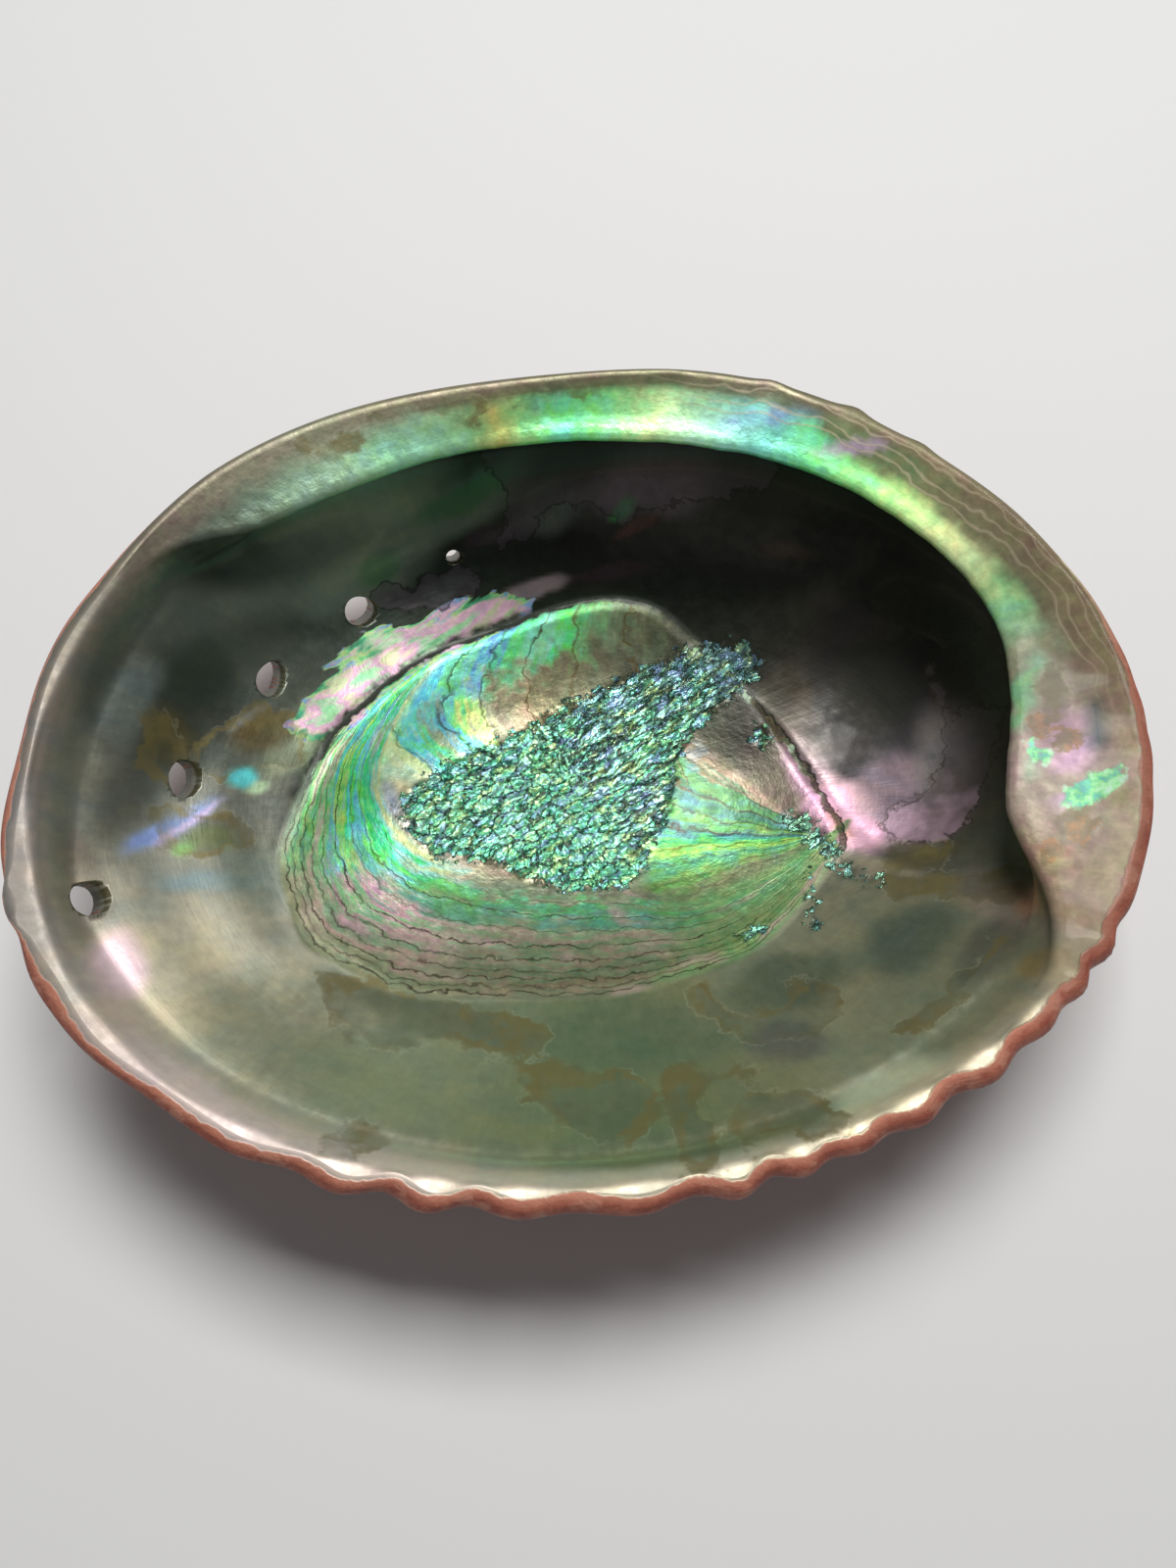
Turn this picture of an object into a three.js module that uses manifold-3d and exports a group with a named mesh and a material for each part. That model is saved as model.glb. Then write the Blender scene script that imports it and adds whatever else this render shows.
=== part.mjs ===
// An abalone shell, lying on its back with the pearly inside up.
// Millimetres, +Z up. The shell is drawn with its rim in the plane z = 0, x to the spire's end and
// y to the side of the shelf, and then laid down at the tilt at which it comes to rest.

import * as THREE from "three";
import * as BufferGeometryUtils from "three/addons/utils/BufferGeometryUtils.js";
import Module from "manifold-3d";

// The cup
const CUP_DEPTH = 46;
const CUP_CURVE = 1.9;
const FLOOR_X = -4;
const FLOOR_Y = 6;
const WALL_AT_FLOOR = 4.5;
const CUP_MIDDLE = [0, 4, 10];

// The rim: its reach from the middle of the mouth, as a sum of waves of the angle
const RIM_REACH = 83.4;
const RIM_COS = [-0.65, 11.0, 0, 0.5, 0.3];
const RIM_SIN = [0, 1.6, -0.5, 0, -0.5];

// The flat shelf along the far side, wider at the spire, and the hollow under it
const SHELF_WIDTH = 12;
const SHELF_EXTRA_AT_SPIRE = 9.5;
const SHELF_EXTRA_AT_END = 1.2;
const SHELF_OVERHANG = 6.5;
const SHELF_OVERHANG_AT_SPIRE = 4;

// The spire and the spiral on which the shell grew
const SPIRE_X = 64;
const SPIRE_Y = 10;
const SPIRAL_GROWTH = 0.64;
const HOLE_ROW_TURN = -4.483;
const SUTURE_TURN = -5.0;

// The breathing holes: place, height of the inside there, size along and across the row
const HOLES = [
  { x: -82.8, y: -22.1, height: -11, along: 6.6, across: 5.6 },
  { x: -72.2, y: 2.2, height: -22, along: 7.2, across: 5.6 },
  { x: -59.4, y: 24.0, height: -28.5, along: 7.2, across: 5.4 },
  { x: -44.1, y: 40.8, height: -34.6, along: 6.4, across: 5.8 },
  { x: -25.7, y: 52.6, height: -34.8, along: 3.2, across: 2.8 },
];
const HOLES_OPEN_TO = [0, -10, 40];
const HOLE_SIDES = 20;
const HOLE_DRILL_REACH = 11;
const HOLE_LENGTH = 5;
const HEALED_HOLES = 5;
const HEALED_HOLE_STEP = 0.87;

// Relief, inside and outside
const CHANNEL_DEPTH = 2;
const CHANNEL_HALF_WIDTH = 7.5;
const SPIRE_HOLLOW_DEPTH = 4.2;
const SPIRE_BULGE = 4;
const SPIRE_BULGE_REACH = 28;
const SCAR_RISE = 1.4;
const FOLD_HEIGHT = 0.3;
const FOLD_PITCH = 14;
const CORD_HEIGHT = 0.75;
const CORDS = 24;
const CORD_UNEVENNESS = 0.4;
const CORD_WANDER = 1.3;
const KEEL_HEIGHT = 2.2;
const HOLE_LIP_HEIGHT = 1.5;
const SPIRE_DOME = 3;
const SUTURE_DEPTH = 1;

// The edge of the muscle scar on the floor, on the mouth's plane
const SCAR_EDGE = [
  [-53, 0], [-47, 15], [-34, 30], [-20, 38], [0, 44.5], [14, 44], [24, 36], [38, 21], [46, 8],
  [51, -6], [48, -10], [36, -24], [24, -30], [8, -35], [-10, -36], [-31, -35.5], [-44, -30],
  [-53, -19], [-55, -10],
];

// At rest the spire's end and the lip's side lie a little lower, and the spot that the shell stands
// on is worn flat
const REST_TILT_TO_SPIRE_DEG = 1.5;
const REST_TILT_TO_LIP_DEG = 0.5;
const WORN_DEPTH = 0.25;
const WORN_SPOT = [8, 9];
const WORN_SMOOTH_REACH = 30;

// How finely the surface is drawn
const AZIMUTHS = 120;
const INNER_ROWS = [0, 2, 3, 3, 3, 2, 2, 1, 1, 2, 2];
const OUTER_ROWS = [0, 1, 1, 2, 3, 4, 4, 3, 3];
const HALF_RING_REACH = 38;
const QUARTER_RING_REACH = 14;

function smooth(value, low, high) {
  const t = Math.min(Math.max((value - low) / (high - low), 0), 1);
  return t * t * (3 - 2 * t);
}

function windowed(angle, start, fullStart, fullEnd, end) {
  return smooth(angle, start, fullStart) * (1 - smooth(angle, fullEnd, end));
}

function hump(value, middle, halfWidth) {
  return Math.exp(-(((value - middle) / halfWidth) ** 2));
}

function mix(a, b, share) {
  return a + (b - a) * share;
}

function rimReach(turn) {
  let reach = RIM_REACH;
  RIM_COS.forEach((size, i) => {
    reach += size * Math.cos((i + 1) * turn) + RIM_SIN[i] * Math.sin((i + 1) * turn);
  });
  return reach;
}

// Height of the cup's inside on the side of the lip, at share u of the way from floor to rim.
function lipHeight(u) {
  return -CUP_DEPTH * (1 - u ** CUP_CURVE);
}

// A point of the outside, one wall thickness square off the inside.
function lipOutside(u, reach, wall) {
  const slope = (CUP_DEPTH * CUP_CURVE * u ** (CUP_CURVE - 1)) / reach;
  const length = Math.hypot(1, slope);
  return [u * reach + (wall * slope) / length, lipHeight(u) - wall / length];
}

// One meridian of the shell: the points [distance from the floor's middle, height] that its inside
// and its outside pass through. The lip's side is open, the far side curls over into the shelf. The
// shelf starts and ends sooner at the rim than the steep wall does on the floor.
function meridian(turn) {
  const angle = THREE.MathUtils.euclideanModulo(THREE.MathUtils.radToDeg(turn) + 90, 360) - 90;
  const alongX = rimReach(turn) * Math.cos(turn) - FLOOR_X;
  const alongY = rimReach(turn) * Math.sin(turn) - FLOOR_Y;
  const reach = Math.hypot(alongX, alongY);

  const shelfShare = windowed(angle, -30, -6, 140, 160);
  const steepShare = windowed(angle, -65, 15, 112, 178);
  const shelf = SHELF_WIDTH * windowed(angle, -60, -10, 144, 161)
    + SHELF_EXTRA_AT_SPIRE * hump(angle, -4, 18)
    + SHELF_EXTRA_AT_END * hump(angle, 130, 14);
  const overhang = shelfShare * (SHELF_OVERHANG + SHELF_OVERHANG_AT_SPIRE * hump(angle, 0, 30));
  const edge = reach - shelf;
  const back = edge + overhang;

  const lipInside = [0, 0.22, 0.44, 0.62, 0.76, 0.86].map((u) => [u * reach, lipHeight(u)]);
  lipInside.push([0.9 * reach, lipHeight(0.892)], [reach - 6.3, -4.6], [reach - 5.3, -2.6]);
  lipInside.push([reach - 4.3, -1.4], [reach - 3.2, -0.9]);
  const shelfInside = [
    [0, -CUP_DEPTH], [0.28 * back, -45.4], [0.55 * back, -42.2], [0.8 * back, -33.5],
    [0.95 * back, -23], [back, -15.5], [edge + 0.45 * overhang, -10], [edge + 0.4, -7.2],
    [edge - 0.2, -5], [edge + 0.35 * shelf, -3.4], [reach - 1.5, 0],
  ];

  const lipBack = [[reach - 1.4, -1.5], [reach, -3.4], [reach - 0.9, -5.8]];
  lipBack.push(lipOutside(0.9, reach, 3.2), lipOutside(0.78, reach, 3.6));
  lipBack.push(lipOutside(0.62, reach, 4), lipOutside(0.42, reach, 4.3));
  lipBack.push(lipOutside(0.2, reach, WALL_AT_FLOOR), lipOutside(0, reach, WALL_AT_FLOOR));
  const shelfBack = [
    [reach - 0.4, -0.6], [reach + 0.2, -2.4], [reach, -7], [0.978 * reach, -15.5],
    [0.925 * reach, -26], [0.8 * reach, -37], [0.58 * reach, -45.4], [0.28 * reach, -49.6],
    [0, -CUP_DEPTH - WALL_AT_FLOOR],
  ];

  const blend = (lip, far, shareAt) => lip.map((p, i) => [
    mix(p[0], far[i][0], shareAt(i)),
    mix(p[1], far[i][1], shareAt(i)),
  ]);
  return {
    direction: [alongX / reach, alongY / reach],
    inside: blend(lipInside, shelfInside, (i) => mix(steepShare, shelfShare, smooth(i, 2, 6))),
    outside: blend(lipBack, shelfBack, (i) => mix(shelfShare, steepShare, smooth(i, 1, 5))),
  };
}

// A smooth curve through the points, with a chosen number of steps in each stretch. A mirrored
// point past the floor's middle keeps the surface level there.
function runThrough(points, steps, floorFirst) {
  const last = points.length - 1;
  const before = floorFirst ? [-points[1][0], points[1][1]] : points[0];
  const after = floorFirst ? points[last] : [-points[last - 1][0], points[last - 1][1]];
  const all = [before, ...points, after];
  const run = [points[0]];
  for (let i = 1; i <= last; i += 1) {
    const [a, b, c, d] = all.slice(i - 1, i + 3);
    for (let step = 1; step <= steps[i]; step += 1) {
      const t = step / steps[i];
      const spot = [0, 1].map((k) => 0.5 * (2 * b[k] + (c[k] - a[k]) * t
        + (2 * a[k] - 5 * b[k] + 4 * c[k] - d[k]) * t * t
        + (3 * b[k] - a[k] - 3 * c[k] + d[k]) * t * t * t));
      run.push(spot);
    }
  }
  return run;
}

// Place on the growth spiral: distance from the spire, and the turn of the spiral line through it.
function onSpiral(x, y) {
  const distance = Math.max(Math.hypot(x - SPIRE_X, y - SPIRE_Y), 2);
  const bearing = THREE.MathUtils.euclideanModulo(Math.atan2(y - SPIRE_Y, x - SPIRE_X), 2 * Math.PI);
  return { distance, turn: bearing - Math.log(distance) / SPIRAL_GROWTH };
}

// Distance in millimetres across from one line of the spiral.
function offSpiralLine(place, lineTurn) {
  const gap = THREE.MathUtils.euclideanModulo(place.turn - lineTurn + Math.PI, 2 * Math.PI) - Math.PI;
  return (place.distance * gap * SPIRAL_GROWTH) / Math.hypot(1, SPIRAL_GROWTH);
}

// Distance to a closed outline, positive inside it.
function insideOutline(x, y, outline) {
  let nearest = Infinity;
  let inside = false;
  outline.forEach(([x1, y1], i) => {
    const [x2, y2] = outline[(i + 1) % outline.length];
    const length = (x2 - x1) ** 2 + (y2 - y1) ** 2;
    const t = Math.min(Math.max(((x - x1) * (x2 - x1) + (y - y1) * (y2 - y1)) / length, 0), 1);
    nearest = Math.min(nearest, Math.hypot(x - x1 - t * (x2 - x1), y - y1 - t * (y2 - y1)));
    if (y1 > y !== y2 > y && x < x1 + ((y - y1) * (x2 - x1)) / (y2 - y1)) inside = !inside;
  });
  return inside ? nearest : -nearest;
}

// The spire's hollow lies beyond a bent edge: a straight run up the floor and a turn to the spire.
function intoSpireHollow(x, y) {
  const pastRun = (x - 47) * 0.875 + (y - 3) * 0.486;
  const pastTurn = y + 16.2 - 0.16 * (x - 60);
  const soften = 6;
  const nearer = -soften * Math.log(Math.exp(-pastRun / soften) + Math.exp(-pastTurn / soften));
  return nearer;
}

// The holes' row runs along the spiral, so each hole is turned to it.
function rowBearing(hole) {
  return Math.atan2(hole.y - SPIRE_Y, hole.x - SPIRE_X) + Math.atan(1 / SPIRAL_GROWTH);
}

// The way a hole runs through the wall: away from a place above the mouth that all holes open to.
function holeOutward(hole) {
  const opensTo = new THREE.Vector3(...HOLES_OPEN_TO);
  return new THREE.Vector3(hole.x, hole.y, hole.height).sub(opensTo).normalize();
}

// Where a hole comes out on the outside of the wall.
function holeExit(hole) {
  const outward = holeOutward(hole);
  return { ...hole, x: hole.x + outward.x * HOLE_LENGTH, y: hole.y + outward.y * HOLE_LENGTH };
}

// How far out from a hole's middle a point lies: 1 on the hole's edge.
function outOfHole(x, y, hole) {
  const bearing = rowBearing(hole);
  const along = (x - hole.x) * Math.cos(bearing) + (y - hole.y) * Math.sin(bearing);
  const across = -(x - hole.x) * Math.sin(bearing) + (y - hole.y) * Math.cos(bearing);
  return Math.hypot(along / (hole.along / 2), across / (hole.across / 2));
}

// Older holes that have healed over, as places on the same row nearer the spire.
function healedHoles() {
  const places = [];
  const youngest = HOLES[HOLES.length - 1];
  let distance = onSpiral(youngest.x, youngest.y).distance;
  for (let i = 0; i < HEALED_HOLES; i += 1) {
    distance *= HEALED_HOLE_STEP;
    const bearing = HOLE_ROW_TURN + Math.log(distance) / SPIRAL_GROWTH;
    places.push({
      x: SPIRE_X + distance * Math.cos(bearing),
      y: SPIRE_Y + distance * Math.sin(bearing),
      along: 5,
      across: 5,
    });
  }
  return places;
}
const HEALED = healedHoles();
const HOLE_EXITS = HOLES.map(holeExit);

// How far the inside is pushed out (the channel under the holes, the spire's hollow) or in (the
// scar's raised edge, the soft folds at the lip).
function insideRelief(x, y, z, fromRim) {
  const place = onSpiral(x, y);
  const onFloor = smooth(-z, 6, 16);
  const channel = CHANNEL_DEPTH * hump(offSpiralLine(place, HOLE_ROW_TURN), 0, CHANNEL_HALF_WIDTH)
    * smooth(place.distance, 55, 85) * smooth(fromRim, 2, 9);
  const hollow = intoSpireHollow(x, y);
  const hollowDrop = SPIRE_HOLLOW_DEPTH * (0.3 * smooth(hollow, -0.5, 2.5) + 0.7 * smooth(hollow, 0, 18))
    * smooth(x, 30, 44) * smooth(-z, 20, 34) * (1 - smooth(place.distance, 22, 40));
  const intoScar = insideOutline(x, y, SCAR_EDGE);
  const upperSide = 0.1 + 0.9 * smooth(y + 0.5 * Math.abs(x + 10), 5, 30) * (1 - 0.5 * smooth(x, 4, 24));
  const scar = SCAR_RISE * smooth(intoScar, -0.8, 0.8) * (1 - smooth(intoScar, 2, 18)) * upperSide;
  const fold = FOLD_HEIGHT * Math.cos((2 * Math.PI * fromRim) / FOLD_PITCH)
    * windowed(fromRim, 5, 12, 30, 45) * smooth(-x, 20, 60);
  return channel + hollowDrop - (scar + fold) * onFloor;
}

// How far the outside is pushed out. unrolledX and unrolledY are the place with the wall laid flat.
// The spiral cords make the edge of the lip wavy, and leave the shelf's edge and the worn spot smooth.
function outsideRelief(x, y, z, unrolledX, unrolledY) {
  const place = onSpiral(x, y);
  const laidFlat = onSpiral(unrolledX, unrolledY);
  const fromWornSpot = Math.hypot(x - WORN_SPOT[0], y - WORN_SPOT[1]);
  const onShelfEdge = smooth(y + 0.35 * x, -8, 12) * (1 - smooth(-z, 4, 14));
  const unevenness = 1 + CORD_UNEVENNESS * Math.cos(7 * laidFlat.turn + 1);
  const wander = CORD_WANDER * Math.sin(5 * laidFlat.turn);
  const cords = CORD_HEIGHT * unevenness * Math.cos(CORDS * laidFlat.turn + wander)
    * smooth(laidFlat.distance, 15, 70) * (1 - 0.85 * onShelfEdge)
    * smooth(fromWornSpot, 0.4 * WORN_SMOOTH_REACH, WORN_SMOOTH_REACH);
  const keel = KEEL_HEIGHT * hump(offSpiralLine(place, HOLE_ROW_TURN), 0, 6)
    * smooth(place.distance, 45, 90);
  let lips = 0;
  HOLE_EXITS.forEach((hole) => {
    lips += HOLE_LIP_HEIGHT * hump(outOfHole(x, y, hole), 1.25, 0.6);
  });
  HEALED.forEach((hole) => {
    lips += 0.7 * HOLE_LIP_HEIGHT * hump(outOfHole(x, y, hole), 0, 1.1);
  });
  const bulge = SPIRE_BULGE * hump(Math.hypot(x - SPIRE_X, y - SPIRE_Y), 0, SPIRE_BULGE_REACH);
  const dome = SPIRE_DOME * hump(laidFlat.distance, 0, 11);
  const suture = SUTURE_DEPTH * hump(offSpiralLine(laidFlat, SUTURE_TURN), 0, 1.8)
    * (1 - smooth(laidFlat.distance, 24, 34)) * smooth(laidFlat.distance, 3, 8);
  return cords + keel + lips + bulge + dome - suture;
}

// Push a point outwards from the middle of the cup.
function pushOut([x, y, z], amount) {
  const away = new THREE.Vector3(x - CUP_MIDDLE[0], y - CUP_MIDDLE[1], z - CUP_MIDDLE[2]).normalize();
  return [x + away.x * amount, y + away.y * amount, z + away.z * amount];
}

// All rings of the shell from the floor's middle inside, over the rim, to the middle outside.
function shellRings() {
  const meridians = [];
  for (let i = 0; i < AZIMUTHS; i += 1) {
    const { direction, inside, outside } = meridian((2 * Math.PI * i) / AZIMUTHS);
    const innerRun = runThrough(inside, INNER_ROWS, true);
    const outerRun = runThrough(outside, OUTER_ROWS, false);
    const place = (distance, height) => [
      FLOOR_X + distance * direction[0],
      FLOOR_Y + distance * direction[1],
      height,
    ];
    const rimDistance = outerRun[0][0];

    const laidFlat = outerRun.map(() => 0);
    for (let row = outerRun.length - 2; row >= 0; row -= 1) {
      const [distance, height] = outerRun[row];
      const [nextDistance, nextHeight] = outerRun[row + 1];
      laidFlat[row] = laidFlat[row + 1] + Math.hypot(distance - nextDistance, height - nextHeight);
    }
    const rimUnrolled = place(laidFlat[0], 0);

    const points = innerRun.map(([distance, height], row) => {
      const [x, y, z] = place(distance, height);
      const atLip = smooth(row / (innerRun.length - 1), 0.86, 1);
      const amount = insideRelief(x, y, z, rimDistance - distance) * (1 - atLip)
        + outsideRelief(x, y, z, rimUnrolled[0], rimUnrolled[1]) * atLip;
      return pushOut([x, y, z], row === 0 ? 0 : amount);
    });
    outerRun.forEach(([distance, height], row) => {
      const [x, y, z] = place(distance, height);
      const flat = place(laidFlat[row], 0);
      const amount = outsideRelief(x, y, z, flat[0], flat[1]);
      points.push(pushOut([x, y, z], row === outerRun.length - 1 ? 0 : amount));
    });
    meridians.push(points);
  }

  const rowCount = meridians[0].length;
  const rings = [];
  for (let row = 0; row < rowCount; row += 1) {
    const sample = meridians[0][row];
    const reach = Math.hypot(sample[0] - FLOOR_X, sample[1] - FLOOR_Y);
    let skip = 1;
    if (reach < HALF_RING_REACH) skip = 2;
    if (reach < QUARTER_RING_REACH) skip = 4;
    const atMiddle = row === 0 || row === rowCount - 1;
    rings.push(meridians.filter((_, i) => (atMiddle ? i === 0 : i % skip === 0)).map((m) => m[row]));
  }
  return rings;
}

// Triangles between two rings. One ring may be a single point, or have half the other's points.
function stitch(firstStart, firstCount, secondStart, secondCount, triangles) {
  const steps = Math.max(firstCount, secondCount);
  for (let i = 0; i < steps; i += 1) {
    const at = (start, count, k) => start + (Math.floor((k * count) / steps) % count);
    const a = at(firstStart, firstCount, i);
    const b = at(firstStart, firstCount, i + 1);
    const c = at(secondStart, secondCount, i);
    const d = at(secondStart, secondCount, i + 1);
    if (c !== d) triangles.push(a, c, d);
    if (a !== b) triangles.push(a, d, b);
  }
}

function ringsToGeometry(rings) {
  const triangles = [];
  let start = 0;
  rings.forEach((ring, row) => {
    const next = rings[row + 1];
    if (next) stitch(start, ring.length, start + ring.length, next.length, triangles);
    start += ring.length;
  });
  const geometry = new THREE.BufferGeometry();
  geometry.setAttribute("position", new THREE.Float32BufferAttribute(rings.flat(2), 3));
  geometry.setIndex(triangles);
  return geometry;
}

// An oval plug that reaches through the wall, with its long way along the holes' row.
function holePlug(hole) {
  const middle = new THREE.Vector3(hole.x, hole.y, hole.height);
  const outward = holeOutward(hole);
  const plug = new THREE.CylinderGeometry(1, 1, 2 * HOLE_DRILL_REACH, HOLE_SIDES);
  plug.rotateX(Math.PI / 2);
  plug.scale(hole.along / 2, hole.across / 2, 1);
  const bearing = rowBearing(hole);
  const alongRow = new THREE.Vector3(Math.cos(bearing), Math.sin(bearing), 0);
  const across = new THREE.Vector3().crossVectors(outward, alongRow).normalize();
  const along = new THREE.Vector3().crossVectors(across, outward);
  plug.applyMatrix4(new THREE.Matrix4().makeBasis(along, across, outward));
  plug.translate(middle.x, middle.y, middle.z);
  return plug;
}

const wasm = await Module();
wasm.setup();

function toSolid(geometry) {
  const bare = geometry.index ? geometry : geometry.clone();
  bare.deleteAttribute("normal");
  bare.deleteAttribute("uv");
  const merged = BufferGeometryUtils.mergeVertices(bare, 1e-4);
  return new wasm.Manifold(new wasm.Mesh({
    numProp: 3,
    vertProperties: new Float32Array(merged.attributes.position.array),
    triVerts: new Uint32Array(merged.index.array),
  }));
}

function toGeometry(solid) {
  const { vertProperties, triVerts } = solid.getMesh();
  const geometry = new THREE.BufferGeometry();
  geometry.setAttribute("position", new THREE.BufferAttribute(new Float32Array(vertProperties), 3));
  geometry.setIndex(Array.from(triVerts));
  return geometry;
}

// Lay the shell down: turn it to its rest, wear its lowest spot flat, and bring the middle of its
// box over the origin with the worn spot on z = 0.
function layDown(geometry) {
  geometry.rotateY(THREE.MathUtils.degToRad(REST_TILT_TO_SPIRE_DEG));
  geometry.rotateX(THREE.MathUtils.degToRad(REST_TILT_TO_LIP_DEG));
  geometry.computeBoundingBox();
  const { min, max } = geometry.boundingBox;
  const table = min.z + WORN_DEPTH;
  const points = geometry.attributes.position;
  for (let i = 0; i < points.count; i += 1) {
    points.setZ(i, Math.max(points.getZ(i), table));
  }
  geometry.translate(-(min.x + max.x) / 2, -(min.y + max.y) / 2, -table);
}

function makeShell() {
  let solid = toSolid(ringsToGeometry(shellRings()));
  HOLES.forEach((hole) => {
    solid = solid.subtract(toSolid(holePlug(hole)));
  });
  const geometry = toGeometry(solid);
  layDown(geometry);
  geometry.computeVertexNormals();
  const nacre = new THREE.MeshStandardMaterial({ color: 0xa9b4a4, roughness: 0.35, metalness: 0 });
  const shell = new THREE.Mesh(geometry, nacre);
  shell.name = "shell";
  return shell;
}

const group = new THREE.Group();
group.add(makeShell());
export default group;
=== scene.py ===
# An abalone shell lying on its back, pearly inside up, on a pale table under a soft studio light.
# Metres in Blender; the shell is drawn in millimetres, as the CAD is, and made metres at the end.

import math
import bpy
import numpy as np
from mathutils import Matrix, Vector, noise


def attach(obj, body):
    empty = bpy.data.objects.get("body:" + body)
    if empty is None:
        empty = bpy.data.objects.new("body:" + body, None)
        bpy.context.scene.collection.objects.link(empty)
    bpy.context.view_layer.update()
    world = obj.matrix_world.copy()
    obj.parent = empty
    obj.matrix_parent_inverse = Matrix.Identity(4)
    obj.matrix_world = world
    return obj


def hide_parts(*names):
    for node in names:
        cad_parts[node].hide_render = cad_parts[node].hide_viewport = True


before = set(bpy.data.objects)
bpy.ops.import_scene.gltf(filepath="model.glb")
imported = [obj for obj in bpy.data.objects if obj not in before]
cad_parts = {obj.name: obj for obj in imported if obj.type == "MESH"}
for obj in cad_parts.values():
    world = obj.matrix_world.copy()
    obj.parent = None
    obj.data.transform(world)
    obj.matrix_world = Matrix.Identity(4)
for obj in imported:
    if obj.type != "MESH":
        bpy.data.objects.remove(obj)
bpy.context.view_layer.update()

MM = 0.001


# The shell's wall
# One grown piece of aragonite and calcite: a thin cup with a rolled lip, a flat shelf along the far
# side and a low spire at one end. It thickens from the inside, so the inside is smoother than the out.

CUP_DEPTH = 46
CUP_CURVE = 1.9
FLOOR = np.array([-4.0, 6.0])
WALL_AT_FLOOR = 4.5
CUP_MIDDLE = np.array([0.0, 4.0, 10.0])
RIM_REACH = 83.4
RIM_COS = [-0.65, 11.0, 0, 0.5, 0.3]
RIM_SIN = [0, 1.6, -0.5, 0, -0.5]
SHELF_WIDTH = 12
SHELF_EXTRA_AT_SPIRE = 9.5
SHELF_EXTRA_AT_END = 1.2
SHELF_OVERHANG = 6.5
SHELF_OVERHANG_AT_SPIRE = 4
SPIRE = np.array([64.0, 10.0])
SPIRAL_GROWTH = 0.64
HOLE_ROW_TURN = -4.483
SUTURE_TURN = -5.0
HOLES = [
    dict(x=-82.8, y=-22.1, height=-11, along=6.6, across=5.6),
    dict(x=-72.2, y=2.2, height=-22, along=7.2, across=5.6),
    dict(x=-59.4, y=24.0, height=-28.5, along=7.2, across=5.4),
    dict(x=-44.1, y=40.8, height=-34.6, along=6.4, across=5.8),
    dict(x=-25.7, y=52.6, height=-34.8, along=3.2, across=2.8),
]
HOLES_OPEN_TO = np.array([0.0, -10.0, 40.0])
HOLE_LENGTH = 5
HEALED_HOLES = 5
HEALED_HOLE_STEP = 0.87
CHANNEL_DEPTH = 2
CHANNEL_HALF_WIDTH = 7.5
SPIRE_HOLLOW_DEPTH = 4.2
SPIRE_BULGE = 4
SPIRE_BULGE_REACH = 28
SCAR_RISE = 1.4
FOLD_HEIGHT = 0.3
FOLD_PITCH = 14
CORD_HEIGHT = 0.75
CORDS = 24
CORD_UNEVENNESS = 0.4
CORD_WANDER = 1.3
KEEL_HEIGHT = 2.2
HOLE_LIP_HEIGHT = 1.5
SPIRE_DOME = 3
SUTURE_DEPTH = 1
SCAR_EDGE = [
    (-53, 0), (-47, 15), (-34, 30), (-20, 38), (0, 44.5), (14, 44), (24, 36), (38, 21), (46, 8),
    (51, -6), (48, -10), (36, -24), (24, -30), (8, -35), (-10, -36), (-31, -35.5), (-44, -30),
    (-53, -19), (-55, -10),
]
REST_TILT_TO_SPIRE = math.radians(1.5)
REST_TILT_TO_LIP = math.radians(0.5)
WORN_SPOT = (8, 9)
WORN_SMOOTH_REACH = 30
MOUTH_MIDDLE = np.array([0.04, -0.33, 50.38])

AZIMUTHS = 432
INNER_ROWS = [0, 28, 30, 28, 24, 18, 9, 6, 4, 4, 5]
OUTER_ROWS = [0, 3, 3, 6, 9, 12, 13, 12, 8]
HALF_RING_REACH = 20
QUARTER_RING_REACH = 8


def smooth(value, low, high):
    t = np.clip((value - low) / (high - low), 0, 1)
    return t * t * (3 - 2 * t)


def windowed(angle, start, full_start, full_end, end):
    return smooth(angle, start, full_start) * (1 - smooth(angle, full_end, end))


def hump(value, middle, half_width):
    return np.exp(-((value - middle) / half_width) ** 2)


def rim_reach(turn):
    reach = RIM_REACH
    for wave, (cos_size, sin_size) in enumerate(zip(RIM_COS, RIM_SIN), start=1):
        reach = reach + cos_size * np.cos(wave * turn) + sin_size * np.sin(wave * turn)
    return reach


def lip_height(u):
    return -CUP_DEPTH * (1 - u ** CUP_CURVE)


def lip_outside(u, reach, wall):
    slope = CUP_DEPTH * CUP_CURVE * u ** (CUP_CURVE - 1) / reach
    length = np.sqrt(1 + slope ** 2)
    return u * reach + wall * slope / length, lip_height(u) - wall / length


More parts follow.
